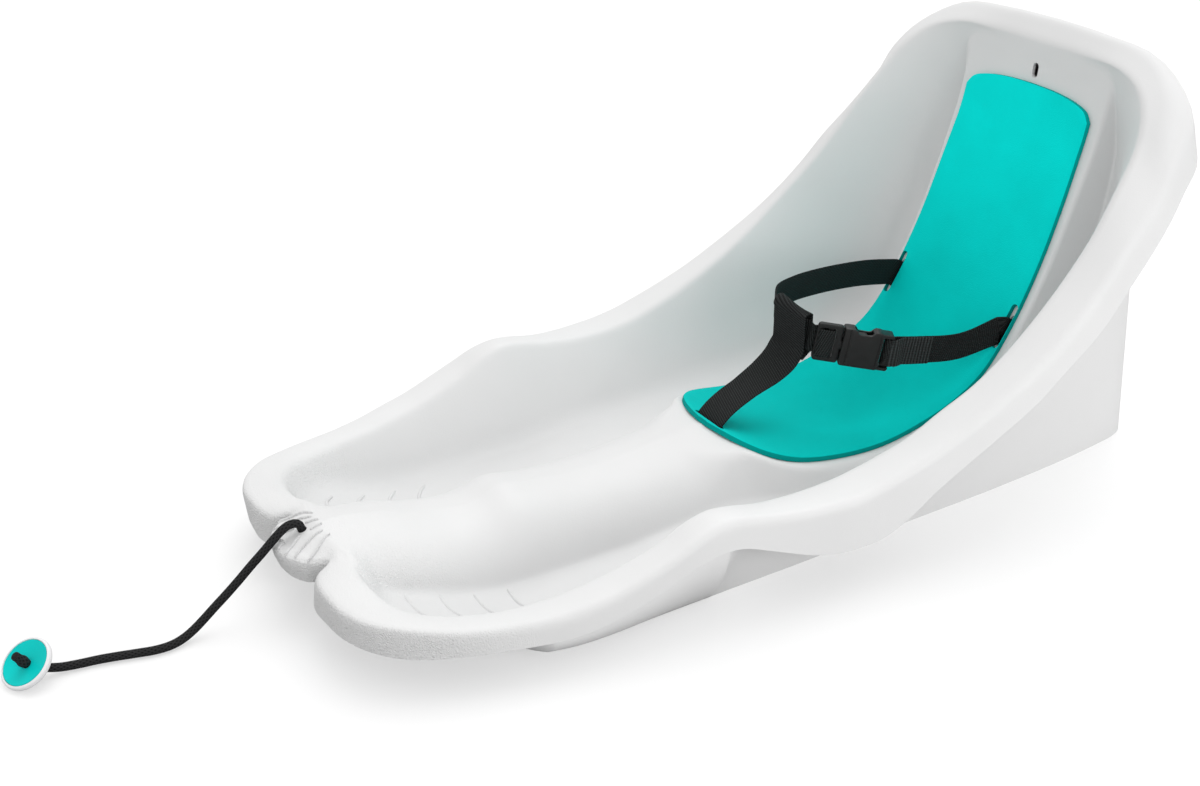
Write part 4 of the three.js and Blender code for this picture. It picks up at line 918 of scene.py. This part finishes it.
def slot_object(name, frame_pair, length, width):
    """A cutter for a slot with round ends: x through the wall, z along the slot."""
    turn, origin = frame_pair
    outline = []
    r = width / 2
    straight = length / 2 - r
    for end, start in ((straight, 0), (-straight, math.pi)):
        for k in range(END_STEPS + 1):
            angle = start + math.pi * k / END_STEPS
            outline.append((math.cos(angle) * r, end + math.sin(angle) * r))
    depths = (-SLOT_DEPTH / 2, SLOT_DEPTH / 2)
    return prism(name, [turn @ np.array([x, y, z]) + origin for x in depths for y, z in outline])


def belt_cutters(length, width, near_drop, far_drop):
    return [
        slot_object("cut_left", belt_slot_frame(1, near_drop), length, width),
        slot_object("cut_right", belt_slot_frame(-1, far_drop), length, width),
        slot_object("cut_crotch", crotch_frame, CROTCH_WIDTH + 3 * WEB_THICKNESS, SLOT_WIDTH),
    ]


shell = shell_object()
shell_cutters = belt_cutters(SLOT_LENGTH, SLOT_WIDTH, NEAR_DROP - 1, FAR_DROP - 1)
shell_cutters.append(slot_object("cut_hang", hang_frame, HANG_SLOT_LENGTH, HANG_SLOT_WIDTH))
for cutter in shell_cutters:
    cut(shell, cutter)
    discard(cutter)
hole_path = [nose_exit - rope_axis * SLOT_DEPTH / 2, nose_exit + rope_axis * SLOT_DEPTH / 2]
hole = swept("cut_rope", hole_path, lambda i: ROPE_DIAMETER / 2 + ROPE_CLEARANCE, HOLE_SIDES)
cut(shell, hole)
discard(hole)
extras = [box_wall_object()]
raised = (("rib", RIB, RIB_WIDTH, RIB_HEIGHT), ("ridge", RIDGE, RIDGE_WIDTH, RIDGE_HEIGHT))
for side in (1, -1):
    for kind, runs, width, height in raised:
        for number, run in enumerate(runs):
            places = [place(side * x, y, 0)[:2] for x, y in run]
            extras.append(ridge_object(f"{kind}_{number}_{side}", places, width, height))
for extra in extras:
    sharp(extra, 50)
sharp(shell, 38)
finish_piece(joined(shell, *extras), moulded_white, "sled", "shell", "sled_shell")


# The seat pad: a foam sheet along the spine with the photograph's outline.
PAD_SHARE = PAD_WIDTH / 2 / 77
PAD_BEND_TOP = 120
PAD_STEP = 4
PAD_STEPS = 110
PAD_TOP_STEPS = 16
PAD_FLAT_SHARES = [-0.9, -0.7, -0.5, -0.25, 0, 0.25, 0.5, 0.7, 0.9]
PAD_FLAT_INSET = 2.2
# The edge's rounding, from the side up: inset from the edge and depth under the top.
PAD_EDGE = [(0, 1.1), (0.3, 0.45), (1.1, 0.05)]


def pad_rows():
    """Middle, direction and half width of each row of the pad, from the seat's front to the top."""
    outline = [(place(0, y, 0)[1], half * PAD_SHARE) for y, half in PAD_OUTLINE]
    first, last = outline[0][0], outline[-1][0]
    ys = [first + (last - first) * (k / PAD_STEPS) for k in range(PAD_STEPS + 1)]
    ys = sorted(set([y for y in ys if seat_at_place(y)[0][2] < PAD_BEND_TOP] + [o[0] for o in outline[:6]]))
    half_spline = Spline([np.array([y, half, 0]) for y, half in outline])
    dense = np.array([half_spline.at(k / 300) for k in range(301)])
    rows = [(*seat_at_place(y), float(np.interp(y, dense[:, 0], dense[:, 1]))) for y in ys]
    z = rows[-1][0][2] + PAD_STEP
    while z < PAD_TOP[0][0]:
        at, along = seat_at_height(z)
        rows.append((at, along, float(np.interp(at[1], dense[:, 0], dense[:, 1]))))
        z += PAD_STEP
    top_spline = Spline([np.array([z, half * PAD_SHARE, 0]) for z, half in PAD_TOP])
    for k in range(PAD_TOP_STEPS + 1):
        z, half, _ = top_spline.at(k / PAD_TOP_STEPS)
        rows.append((*seat_at_height(z), half))
    return rows


def pad_object():
    rows = pad_rows()
    low, high = REST_GAP, REST_GAP + PAD_THICKNESS
    points = []
    for i, (at, _, half) in enumerate(rows):
        before, after = rows[max(i - 1, 0)][0], rows[min(i + 1, len(rows) - 1)][0]
        out = unit(np.cross(ACROSS, after - before))
        inset = min(1.0, half / 8)
        edge = [(half - across * inset, high - deep) for across, deep in PAD_EDGE]
        ring = [(-half, low)] + [(-x, h) for x, h in edge]
        ring += [(share * max(half - PAD_FLAT_INSET, 0.1), high) for share in PAD_FLAT_SHARES]
        ring += edge[::-1] + [(half, low)]
        for x, h in ring:
            p = at + out * h
            points.append(np.array([x, p[1], p[2]]))
    n = len(ring)
    obj = mesh_object("pad", points, tube_faces(len(rows), n))
    obj.data.materials.append(teal_foam)
    obj.data.materials.append(teal_edge_painted_shade)
    # The pad's sides and ends take the darker teal, painted shade.
    for number, polygon in enumerate(obj.data.polygons):
        cap = number >= (len(rows) - 1) * n
        polygon.material_index = 1 if cap or number % n in (0, 1, n - 3, n - 2, n - 1) else 0
    return obj


pad = pad_object()
for cutter in belt_cutters(PAD_SLOT_LENGTH, PAD_SLOT_WIDTH, PAD_SLOT_DROP, PAD_SLOT_DROP):
    cutter.data.materials.append(teal_foam)
    cutter.data.materials.append(teal_edge_painted_shade)
    # The slot walls take the darker teal, painted shade.
    for polygon in cutter.data.polygons:
        polygon.material_index = 1
    cut(pad, cutter)
    discard(cutter)
sharp(pad, 50)
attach(pad, "sled")
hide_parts("seat_pad")


# Webbing.
TAIL_RIB = 3.1
TAIL_NEARS = 16
RIB_SWELL = 0.2


def ribbon(name, points, widths, width, thickness, ribbed_from=None):
    """A flat strap with rounded edges along points; its map is in millimetres, across and along."""
    upper = [(-0.5, 0), (-0.485, 0.36), (-0.45, 0.5), (-0.25, 0.5), (0, 0.5), (0.25, 0.5), (0.45, 0.5),
             (0.485, 0.36), (0.5, 0)]
    section = upper + [(a, -b) for a, b in reversed(upper[1:-1])]
    corners, uvs = [], []
    run = 0.0
    for i, p in enumerate(points):
        before, after = points[max(i - 1, 0)], points[min(i + 1, len(points) - 1)]
        back, ahead = p - before, after - p
        along = unit(after - before)
        wide = unit(widths[i] - np.dot(widths[i], along) * along)
        thick = np.cross(wide, along)
        mitre = 1.0
        if np.linalg.norm(back) > 0 and np.linalg.norm(ahead) > 0:
            cosine = np.clip(np.dot(unit(back), unit(ahead)), -1, 1)
            mitre = 1 / max(math.cos(math.acos(cosine) / 2), 0.5)
        run += np.linalg.norm(back)
        swell = 1.0
        if ribbed_from is not None and i >= ribbed_from:
            swell += RIB_SWELL * math.sin(2 * math.pi * run / TAIL_RIB)
        for a, b in section:
            corners.append(p + wide * a * width + thick * b * thickness * mitre * swell)
            uvs.append((a * width, run))
    return mesh_object(name, corners, tube_faces(len(points), len(section)), uvs)


plug_end, socket_end = place(*PLUG_END), place(*SOCKET_END)
buckle_axis = unit(socket_end - plug_end)
buckle_turn, buckle_origin = frame_at(plug_end, buckle_axis, UPWARD)
buckle_y, buckle_z = buckle_turn[:, 1], buckle_turn[:, 2]


def in_buckle(x, y, z):
    return buckle_turn @ np.array([x, y, z], float) + buckle_origin


LAP_TURN = math.hypot(BAR_WIDTH, BAR_THICKNESS) / 2 + WEB_GAP + WEB_THICKNESS / 2
STOP_TURN = STOP_DIAMETER / 2 + WEB_GAP + WEB_THICKNESS / 2
RIGHT_SETTLES = 30
LEFT_SETTLES = 25
FLAT_POINTS = 10
TAIL_RIBS_FROM = 8
BEHIND = WALL + STOP_DIAMETER / 2 + 2 * WEB_GAP + 2 * WEB_THICKNESS
EYE_STEPS = 32
PLUG_SLOT_START = BAR_WIDTH
PLUG_SLOT_END = PLUG_SLOT_START + WEB_SLOT
SOCKET_BAR_START = BUCKLE_LENGTH - BAR_WIDTH


def turn_points(centre, forward, side, radius, steps=14):
    return [centre + on_circle(k / steps / 2, -side * radius, forward * radius) for k in range(steps + 1)]


def stop_centre(frame_pair):
    return frame_pair[1] - frame_pair[0][:, 0] * BEHIND


def slot_lead(frame_pair):
    out = frame_pair[0][:, 0]
    centre = stop_centre(frame_pair)
    return centre + out * STOP_TURN, centre + out * (BEHIND + PAD_THICKNESS + SLOT_RUN)


def eye(name, centre, width_direction, width):
    """The sewn eye at a strap's end, round its stop."""
    side = unit(np.cross(width_direction, UPWARD if abs(width_direction[2]) < 0.9 else ACROSS))
    other = np.cross(width_direction, side)
    points = [centre + STOP_TURN * on_circle(k / EYE_STEPS, side, other) for k in range(EYE_STEPS + 1)]
    return ribbon(name, points, [width_direction] * len(points), width - WEB_GAP, WEB_THICKNESS)


def settled_widths(along, points, reach):
    """Widths that turn from the slot's direction to upright over a distance along the strap."""
    widths, run = [], 0.0
    for i, p in enumerate(points):
        run += np.linalg.norm(p - points[max(i - 1, 0)])
        share = min(max((run - BEHIND - PAD_THICKNESS) / reach, 0.0), 1.0)
        widths.append(along * (1 - share) + UPWARD * share)
    return widths


def right_strap():
    frame_pair = belt_slot_frame(-1, FAR_DROP)
    along = frame_pair[0][:, 2]
    start, lead = slot_lead(frame_pair)
    route = [place(*row) for row in RIGHT_ROUTE[1:]]
    bar_x = PLUG_SLOT_END + BAR_WIDTH / 2
    near_bar = [in_buckle(-2 * WEB_THICKNESS, LAP_TURN, 0), in_buckle(PLUG_SLOT_START, LAP_TURN, 0)]
    path = Spline([lead, *route, *near_bar]).spaced(RIGHT_STEPS)
    turn = turn_points(in_buckle(bar_x, 0, 0), buckle_axis, -buckle_y, LAP_TURN)
    tail = [in_buckle(bar_x - reach, -LAP_TURN, 0) for reach in (PLUG_TAIL / 2, PLUG_TAIL)]
    points = [start, *path, *turn, *tail]
    widths = settled_widths(along, points, RIGHT_SETTLES)
    for i in range(len(points) - len(turn) - FLAT_POINTS, len(points)):
        widths[i] = buckle_z
    strap = ribbon("strap_right", points, widths, LAP_WIDTH, WEB_THICKNESS)
    return joined(strap, eye("eye_right", stop_centre(frame_pair), along, LAP_WIDTH))


def left_strap():
    """The near strap, and for each of its faces whether it is on the doubled tail."""
    frame_pair = belt_slot_frame(1, NEAR_DROP)
    along = frame_pair[0][:, 2]
    start, lead = slot_lead(frame_pair)
    bar_x = SOCKET_BAR_START + BAR_WIDTH / 2
    route = [place(*row) for row in reversed(LEFT_ROUTE[1:-1])]
    near_bar = [in_buckle(bar_x + 3 * WEB_THICKNESS, LAP_TURN, 0), in_buckle(bar_x, LAP_TURN, 0)]
    path = Spline([lead, *route, *near_bar]).spaced(LEFT_STEPS)
    turn = turn_points(in_buckle(bar_x, 0, 0), -buckle_axis, -buckle_y, LAP_TURN)[1:]
    tail_start = in_buckle(bar_x, -LAP_TURN, 0)
    outward = list(reversed(path))
    near = WEB_THICKNESS + WEB_GAP
    tail = []
    run = 0.0
    for i in range(1, len(outward) - 1):
        run += np.linalg.norm(outward[i] - outward[i - 1])
        direction = unit(outward[i + 1] - outward[i - 1])
        side = unit(np.cross(direction, UPWARD))
        share = smoothstep(1 - run / TAIL_NEARS)
        tail.append(outward[i] + side * (near + (2 * LAP_TURN - near) * share))
        if np.linalg.norm(tail[-1] - tail_start) > LAP_TAIL:
            break
    points = [start, *path, *turn, *tail]
    widths = settled_widths(along, points, LEFT_SETTLES)
    turned_at = len(path) + len(turn)
    for i in range(len(path) - FLAT_POINTS, turned_at + FLAT_POINTS):
        widths[i] = buckle_z
    strap = ribbon("strap_left", points, widths, LAP_WIDTH, WEB_THICKNESS, turned_at + TAIL_RIBS_FROM)
    turned = length_of(points[:turned_at + 1])
    uv_layer = strap.data.uv_layers[0].data
    in_tail = [uv_layer[p.loop_start].uv[1] > turned * MM for p in strap.data.polygons]
    strap = joined(strap, eye("eye_left", stop_centre(frame_pair), along, LAP_WIDTH))
    in_tail += [False] * (len(strap.data.polygons) - len(in_tail))
    return strap, in_tail


LOOP_GAP = 3.2
LOOP_STEPS = 6


def crotch_strap():
    """The wide strap from the seat's slot up to its loop round the lap belt."""
    centre = stop_centre(crotch_frame)
    rise = [place(0, y, z) for y, z in CROTCH_ROUTE]
    top, last = place(*LOOP_TOP), rise[-1]
    before, lap, after = (place(*row) for row in RIGHT_ROUTE[5:8])
    lap_along = unit((after - before) * (1, 1, 0))
    front = np.array([lap_along[1], -lap_along[0], 0])
    lap_along = unit(lap_along + UPWARD * LOOP_DIP)
    radius = LOOP_GAP + WEB_THICKNESS
    top_centre = np.array([0, lap[1], top[2] - radius])
    bottom_centre = np.array([0, lap[1], last[2] + 3 * WEB_THICKNESS])
    path = Spline([centre + UPWARD * STOP_TURN, *rise]).spaced(CROTCH_STEPS)
    front_low = bottom_centre + front * radius
    loop = [front_low + (top_centre + front * radius - front_low) * k / LOOP_STEPS for k in range(LOOP_STEPS)]
    loop += turn_points(top_centre, UPWARD, -front, radius)
    back_top, back_low = loop[-1], bottom_centre - front * radius
    loop += [back_top + (back_low - back_top) * k / LOOP_STEPS for k in range(1, LOOP_STEPS + 1)]
    loop.append(last - front * WEB_THICKNESS - UPWARD * WEB_THICKNESS)
    points = [*path, *loop]
    widths = []
    for i in range(len(points)):
        share = min(max(2 * i / len(path) - 1, 0.0), 1.0)
        widths.append(ACROSS * (1 - share) + lap_along * share)
    strap = ribbon("strap_crotch", points, widths, CROTCH_WIDTH, WEB_THICKNESS)
    return joined(strap, eye("eye_crotch", centre, ACROSS, CROTCH_WIDTH))


finish_piece(right_strap(), webbing, "sled", "web", "lap_strap_right")
near_strap, in_tail = left_strap()
near_strap.data.materials.append(webbing)
near_strap.data.materials.append(ribbed_webbing)
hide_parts("lap_strap_left")
for polygon, ribbed in zip(near_strap.data.polygons, in_tail):
    polygon.material_index = int(ribbed)
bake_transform(near_strap)
finish_piece(crotch_strap(), webbing, "sled", "web", "crotch_strap")


# The buckle's two halves. Outlines lie in the buckle's own x (along the belt) and z (across it).
BUCKLE_THICKNESS = 12
BUCKLE_EDGE = 1.6
PLUG_THICKNESS = 5
PLUG_EDGE = 1.2
TONGUE_THICKNESS = 5.4
TONGUE_EDGE = 0.5
PAST = 40
POCKET_HALF = 13
POCKET_DEEP = 3.3
POCKET_RUN = (18.4, 48.4)
WINDOW_RUN = (31, 47.4)
WINDOW_FROM = 4.75
OPENING = (-13.5, 13.5)
SOCKET_SLOT_RUN = (56, 61)
SOCKET_END_RUN = (60.9, 70)
SOCKET_BAR_HALF = 2.5
GROOVE_FLOOR = 5.5
GROOVES = [((27, 27.8), (-PAST, PAST)), ((53.2, 54), (-14, 14))]
PLUG_SLOT_RUNS = [(4, 9), (13, 16.4)]
SOCKET_OUTLINE = [
    (22.4, 15.6), (23.4, 16.8), (25, 17), (31, 17), (33, 15.8), (34.4, 13.6), (36, 13.1), (44, 13.1),
    (46, 13.6), (48, 15.8), (49.6, 17), (54, 17), (55.4, 16.4), (63.2, 16.4), (64.5, 15.6), (65, 14),
]
PLUG_OUTLINE = [(0, 14), (0.6, 16), (2.2, 17), (19.6, 17), (21.2, 16.6), (22, 15.4)]
TONGUE_OUTLINE = [(20, 3.5), (41.4, 3.5), (42.4, 2.5)]


def lower_edge(upper):
    return [(x, -z) for x, z in reversed(upper)]


def plate_object(name, outline, thickness, edge):
    sides = (-thickness / 2, thickness / 2)
    return rounded(prism(name, [in_buckle(x, y, z) for y in sides for x, z in outline]), edge, 3)


def buckle_cut(obj, run, depth, across):
    """Cuts a box out of a half; each pair of limits may come in either order."""
    limits = [v for pair in (run, depth, across) for v in sorted(pair)]
    cutter = box_object("cut_buckle", (buckle_turn, buckle_origin), *limits)
    cut(obj, cutter)
    discard(cutter)


# The socket's notch is at the top only.
socket_foot = lower_edge(SOCKET_OUTLINE[:4] + SOCKET_OUTLINE[10:])
socket_part = plate_object("buckle_socket_shell", SOCKET_OUTLINE + socket_foot, BUCKLE_THICKNESS, BUCKLE_EDGE)
pocket_depth = (-POCKET_DEEP, POCKET_DEEP)
buckle_cut(socket_part, POCKET_RUN, pocket_depth, (-POCKET_HALF, POCKET_HALF))
for side in (1, -1):
    buckle_cut(socket_part, WINDOW_RUN, pocket_depth, (side * WINDOW_FROM, side * PAST))
buckle_cut(socket_part, SOCKET_SLOT_RUN, (-PAST, PAST), OPENING)
for side in (-1, 1):
    buckle_cut(socket_part, SOCKET_END_RUN, (side * SOCKET_BAR_HALF, side * PAST), OPENING)
    for run, across in GROOVES:
        buckle_cut(socket_part, run, (side * GROOVE_FLOOR, side * PAST), across)
sharp(socket_part, 40)
finish_piece(socket_part, black_plastic, "socket", "buckle", "buckle_socket")
plug_outline = PLUG_OUTLINE + lower_edge(PLUG_OUTLINE)
plug_part = plate_object("buckle_plug_frame", plug_outline, PLUG_THICKNESS, PLUG_EDGE)
for run in PLUG_SLOT_RUNS:
    buckle_cut(plug_part, run, (-PAST, PAST), OPENING)
tongue_outline = TONGUE_OUTLINE + lower_edge(TONGUE_OUTLINE)
tongue = plate_object("plug_tongue", tongue_outline, TONGUE_THICKNESS, TONGUE_EDGE)
cut(plug_part, tongue, "UNION")
discard(tongue)
sharp(plug_part, 40)
finish_piece(plug_part, black_plastic, "sled", "buckle", "buckle_plug")


# Handle and knots.
def revolved(name, profile, centre, axis, segments):
    side = unit(np.cross(axis, ACROSS))
    other = np.cross(axis, side)
    points = [centre + axis * h + r * on_circle(k / segments, side, other) for r, h in profile
              for k in range(segments)]
    return mesh_object(name, points, tube_faces(len(profile), segments, capped=False), weld=WELD)


half = DISC_THICKNESS / 2
outer = DISC_DIAMETER / 2
bore = ROPE_DIAMETER / 2 + REST_GAP
face_edge = FACE_DIAMETER / 2 + REST_GAP
disc_profile = [(bore, -half), (outer - 2.2, -half), (outer - 0.9, -half + 0.35), (outer - 0.2, -half + 1.2),
                (outer, -0.4), (outer, 0.6), (outer - 0.25, 1.6), (outer - 0.8, 2.2), (outer - 1.4, half),
                (face_edge + 0.2, half), (face_edge, half - 0.2), (face_edge, half - FACE_THICKNESS),
                (bore, half - FACE_DEPTH - FACE_THICKNESS), (bore, -half)]
disc = revolved("disc", disc_profile, disc_centre, disc_tilt, TURNED_SIDES)
sharp(disc, 45)
finish_piece(disc, disc_white, "sled", "disc", "handle_disc")
face_seat = half - FACE_THICKNESS + REST_GAP
face_floor = half - FACE_DEPTH - FACE_THICKNESS + REST_GAP
face_profile = [(bore, face_floor), (FACE_DIAMETER / 2, face_seat), (FACE_DIAMETER / 2, half - 0.4),
                (FACE_DIAMETER / 2 - 0.4, half - 0.05)]
for k in range(1, 9):
    t = k / 8
    r = FACE_DIAMETER / 2 - 0.4 + (bore - FACE_DIAMETER / 2 + 0.4) * t
    face_profile.append((r, half - FACE_DEPTH * (1 - (1 - t) ** 1.6)))
face_profile.append((bore, face_floor))
face = revolved("disc_face", face_profile, disc_centre, disc_tilt, TURNED_SIDES)
sharp(face, 45)
finish_piece(face, face_teal, "sled", "face", "handle_face")

shaft = ROPE_DIAMETER / 2
front_height = half - FACE_DEPTH + REST_GAP
stub_end = front_height + STUB_LENGTH + shaft + 1
stub_heights = np.linspace(-half, stub_end, STUB_ROWS)
stub_path = [disc_centre + disc_tilt * h for h in stub_heights]


def stub_radius(i):
    h = stub_heights[i] - front_height
    swell = math.exp(-((h - KNOT_AT) / KNOT_SPREAD) ** 2)
    end = STUB_END_SHARE if i == len(stub_heights) - 1 else 1.0
    return (shaft + KNOT_SWELL * swell) * end


stub = swept("rope_stub", stub_path, stub_radius, STUB_SIDES)
finish_piece(stub, braided, "sled", "rope", "handle_knot")
carried = {"nose_knot": braided, "plug_arm_upper": black_plastic, "plug_arm_lower": black_plastic,
           "strap_stop_right": steel, "strap_stop_left": steel, "strap_stop_crotch": steel}
for name, material in carried.items():
    for slot in bpy.data.objects[name].material_slots:
        slot.material = material

# Floor, light and world. The camera sees a white floor that keeps the object's shadow.
FLOOR_LIFT = 0.52
WORLD_LIGHT = 0.9
# Name, direction, strength and spread in degrees.
SUNS = [
    ("key", (0.35, -0.35, -0.87), 1.0, 50),
    ("side", (-0.95, -0.1, -0.2), 0.6, 50),
    ("front", (-0.1, 0.95, -0.25), 0.25, 60),
]
bpy.ops.mesh.primitive_plane_add(size=40, location=(0, 0, 0))
floor = bpy.context.active_object
floor.name = "floor"
floor_material, graph = new_material("pale_floor", gray(0.42), 0.6)
seen = graph.add("LightPath", "Is Camera Ray", {})
strength = graph.maths("MULTIPLY", seen, FLOOR_LIFT)
lift = graph.add("Emission", 0, {"Color": (1, 1, 1, 1), "Strength": strength})
both = graph.add("AddShader", 0, {0: graph.nodes["Principled BSDF"].outputs[0], 1: lift})
graph.put(graph.nodes["Material Output"].inputs["Surface"], both)
floor.data.materials.append(floor_material)

world = bpy.data.worlds.new("world")
bpy.context.scene.world = world
world.use_nodes = True
graph = Graph(world.node_tree)
seen = graph.nodes.new("ShaderNodeLightPath").outputs
plain = graph.maths("MAXIMUM", seen["Is Camera Ray"], seen["Is Transmission Ray"])
plain = graph.maths("MAXIMUM", plain, seen["Is Glossy Ray"])
background = graph.nodes["Background"].inputs
graph.put(background["Color"], (1, 1, 1, 1))
graph.put(background["Strength"], graph.remap(plain, 0, 1, WORLD_LIGHT, 1.0))


def light(name, kind, energy, at, toward):
    data = bpy.data.lights.new(name, kind)
    data.energy = energy
    obj = bpy.data.objects.new(name, data)
    bpy.context.scene.collection.objects.link(obj)
    obj.location = at
    obj.rotation_euler = Vector(toward).to_track_quat("-Z", "Y").to_euler()
    return obj


panel = light("rear_side", "AREA", 1.6, (0.8, 0.35, 0.1), (-1.0, 0.0, 0.05))
panel.data.size = 0.4
panel.visible_camera = False
for name, toward, energy, angle in SUNS:
    light(name, "SUN", energy, -Vector(toward), toward).data.angle = math.radians(angle)

bpy.context.scene.view_settings.view_transform = "Standard"
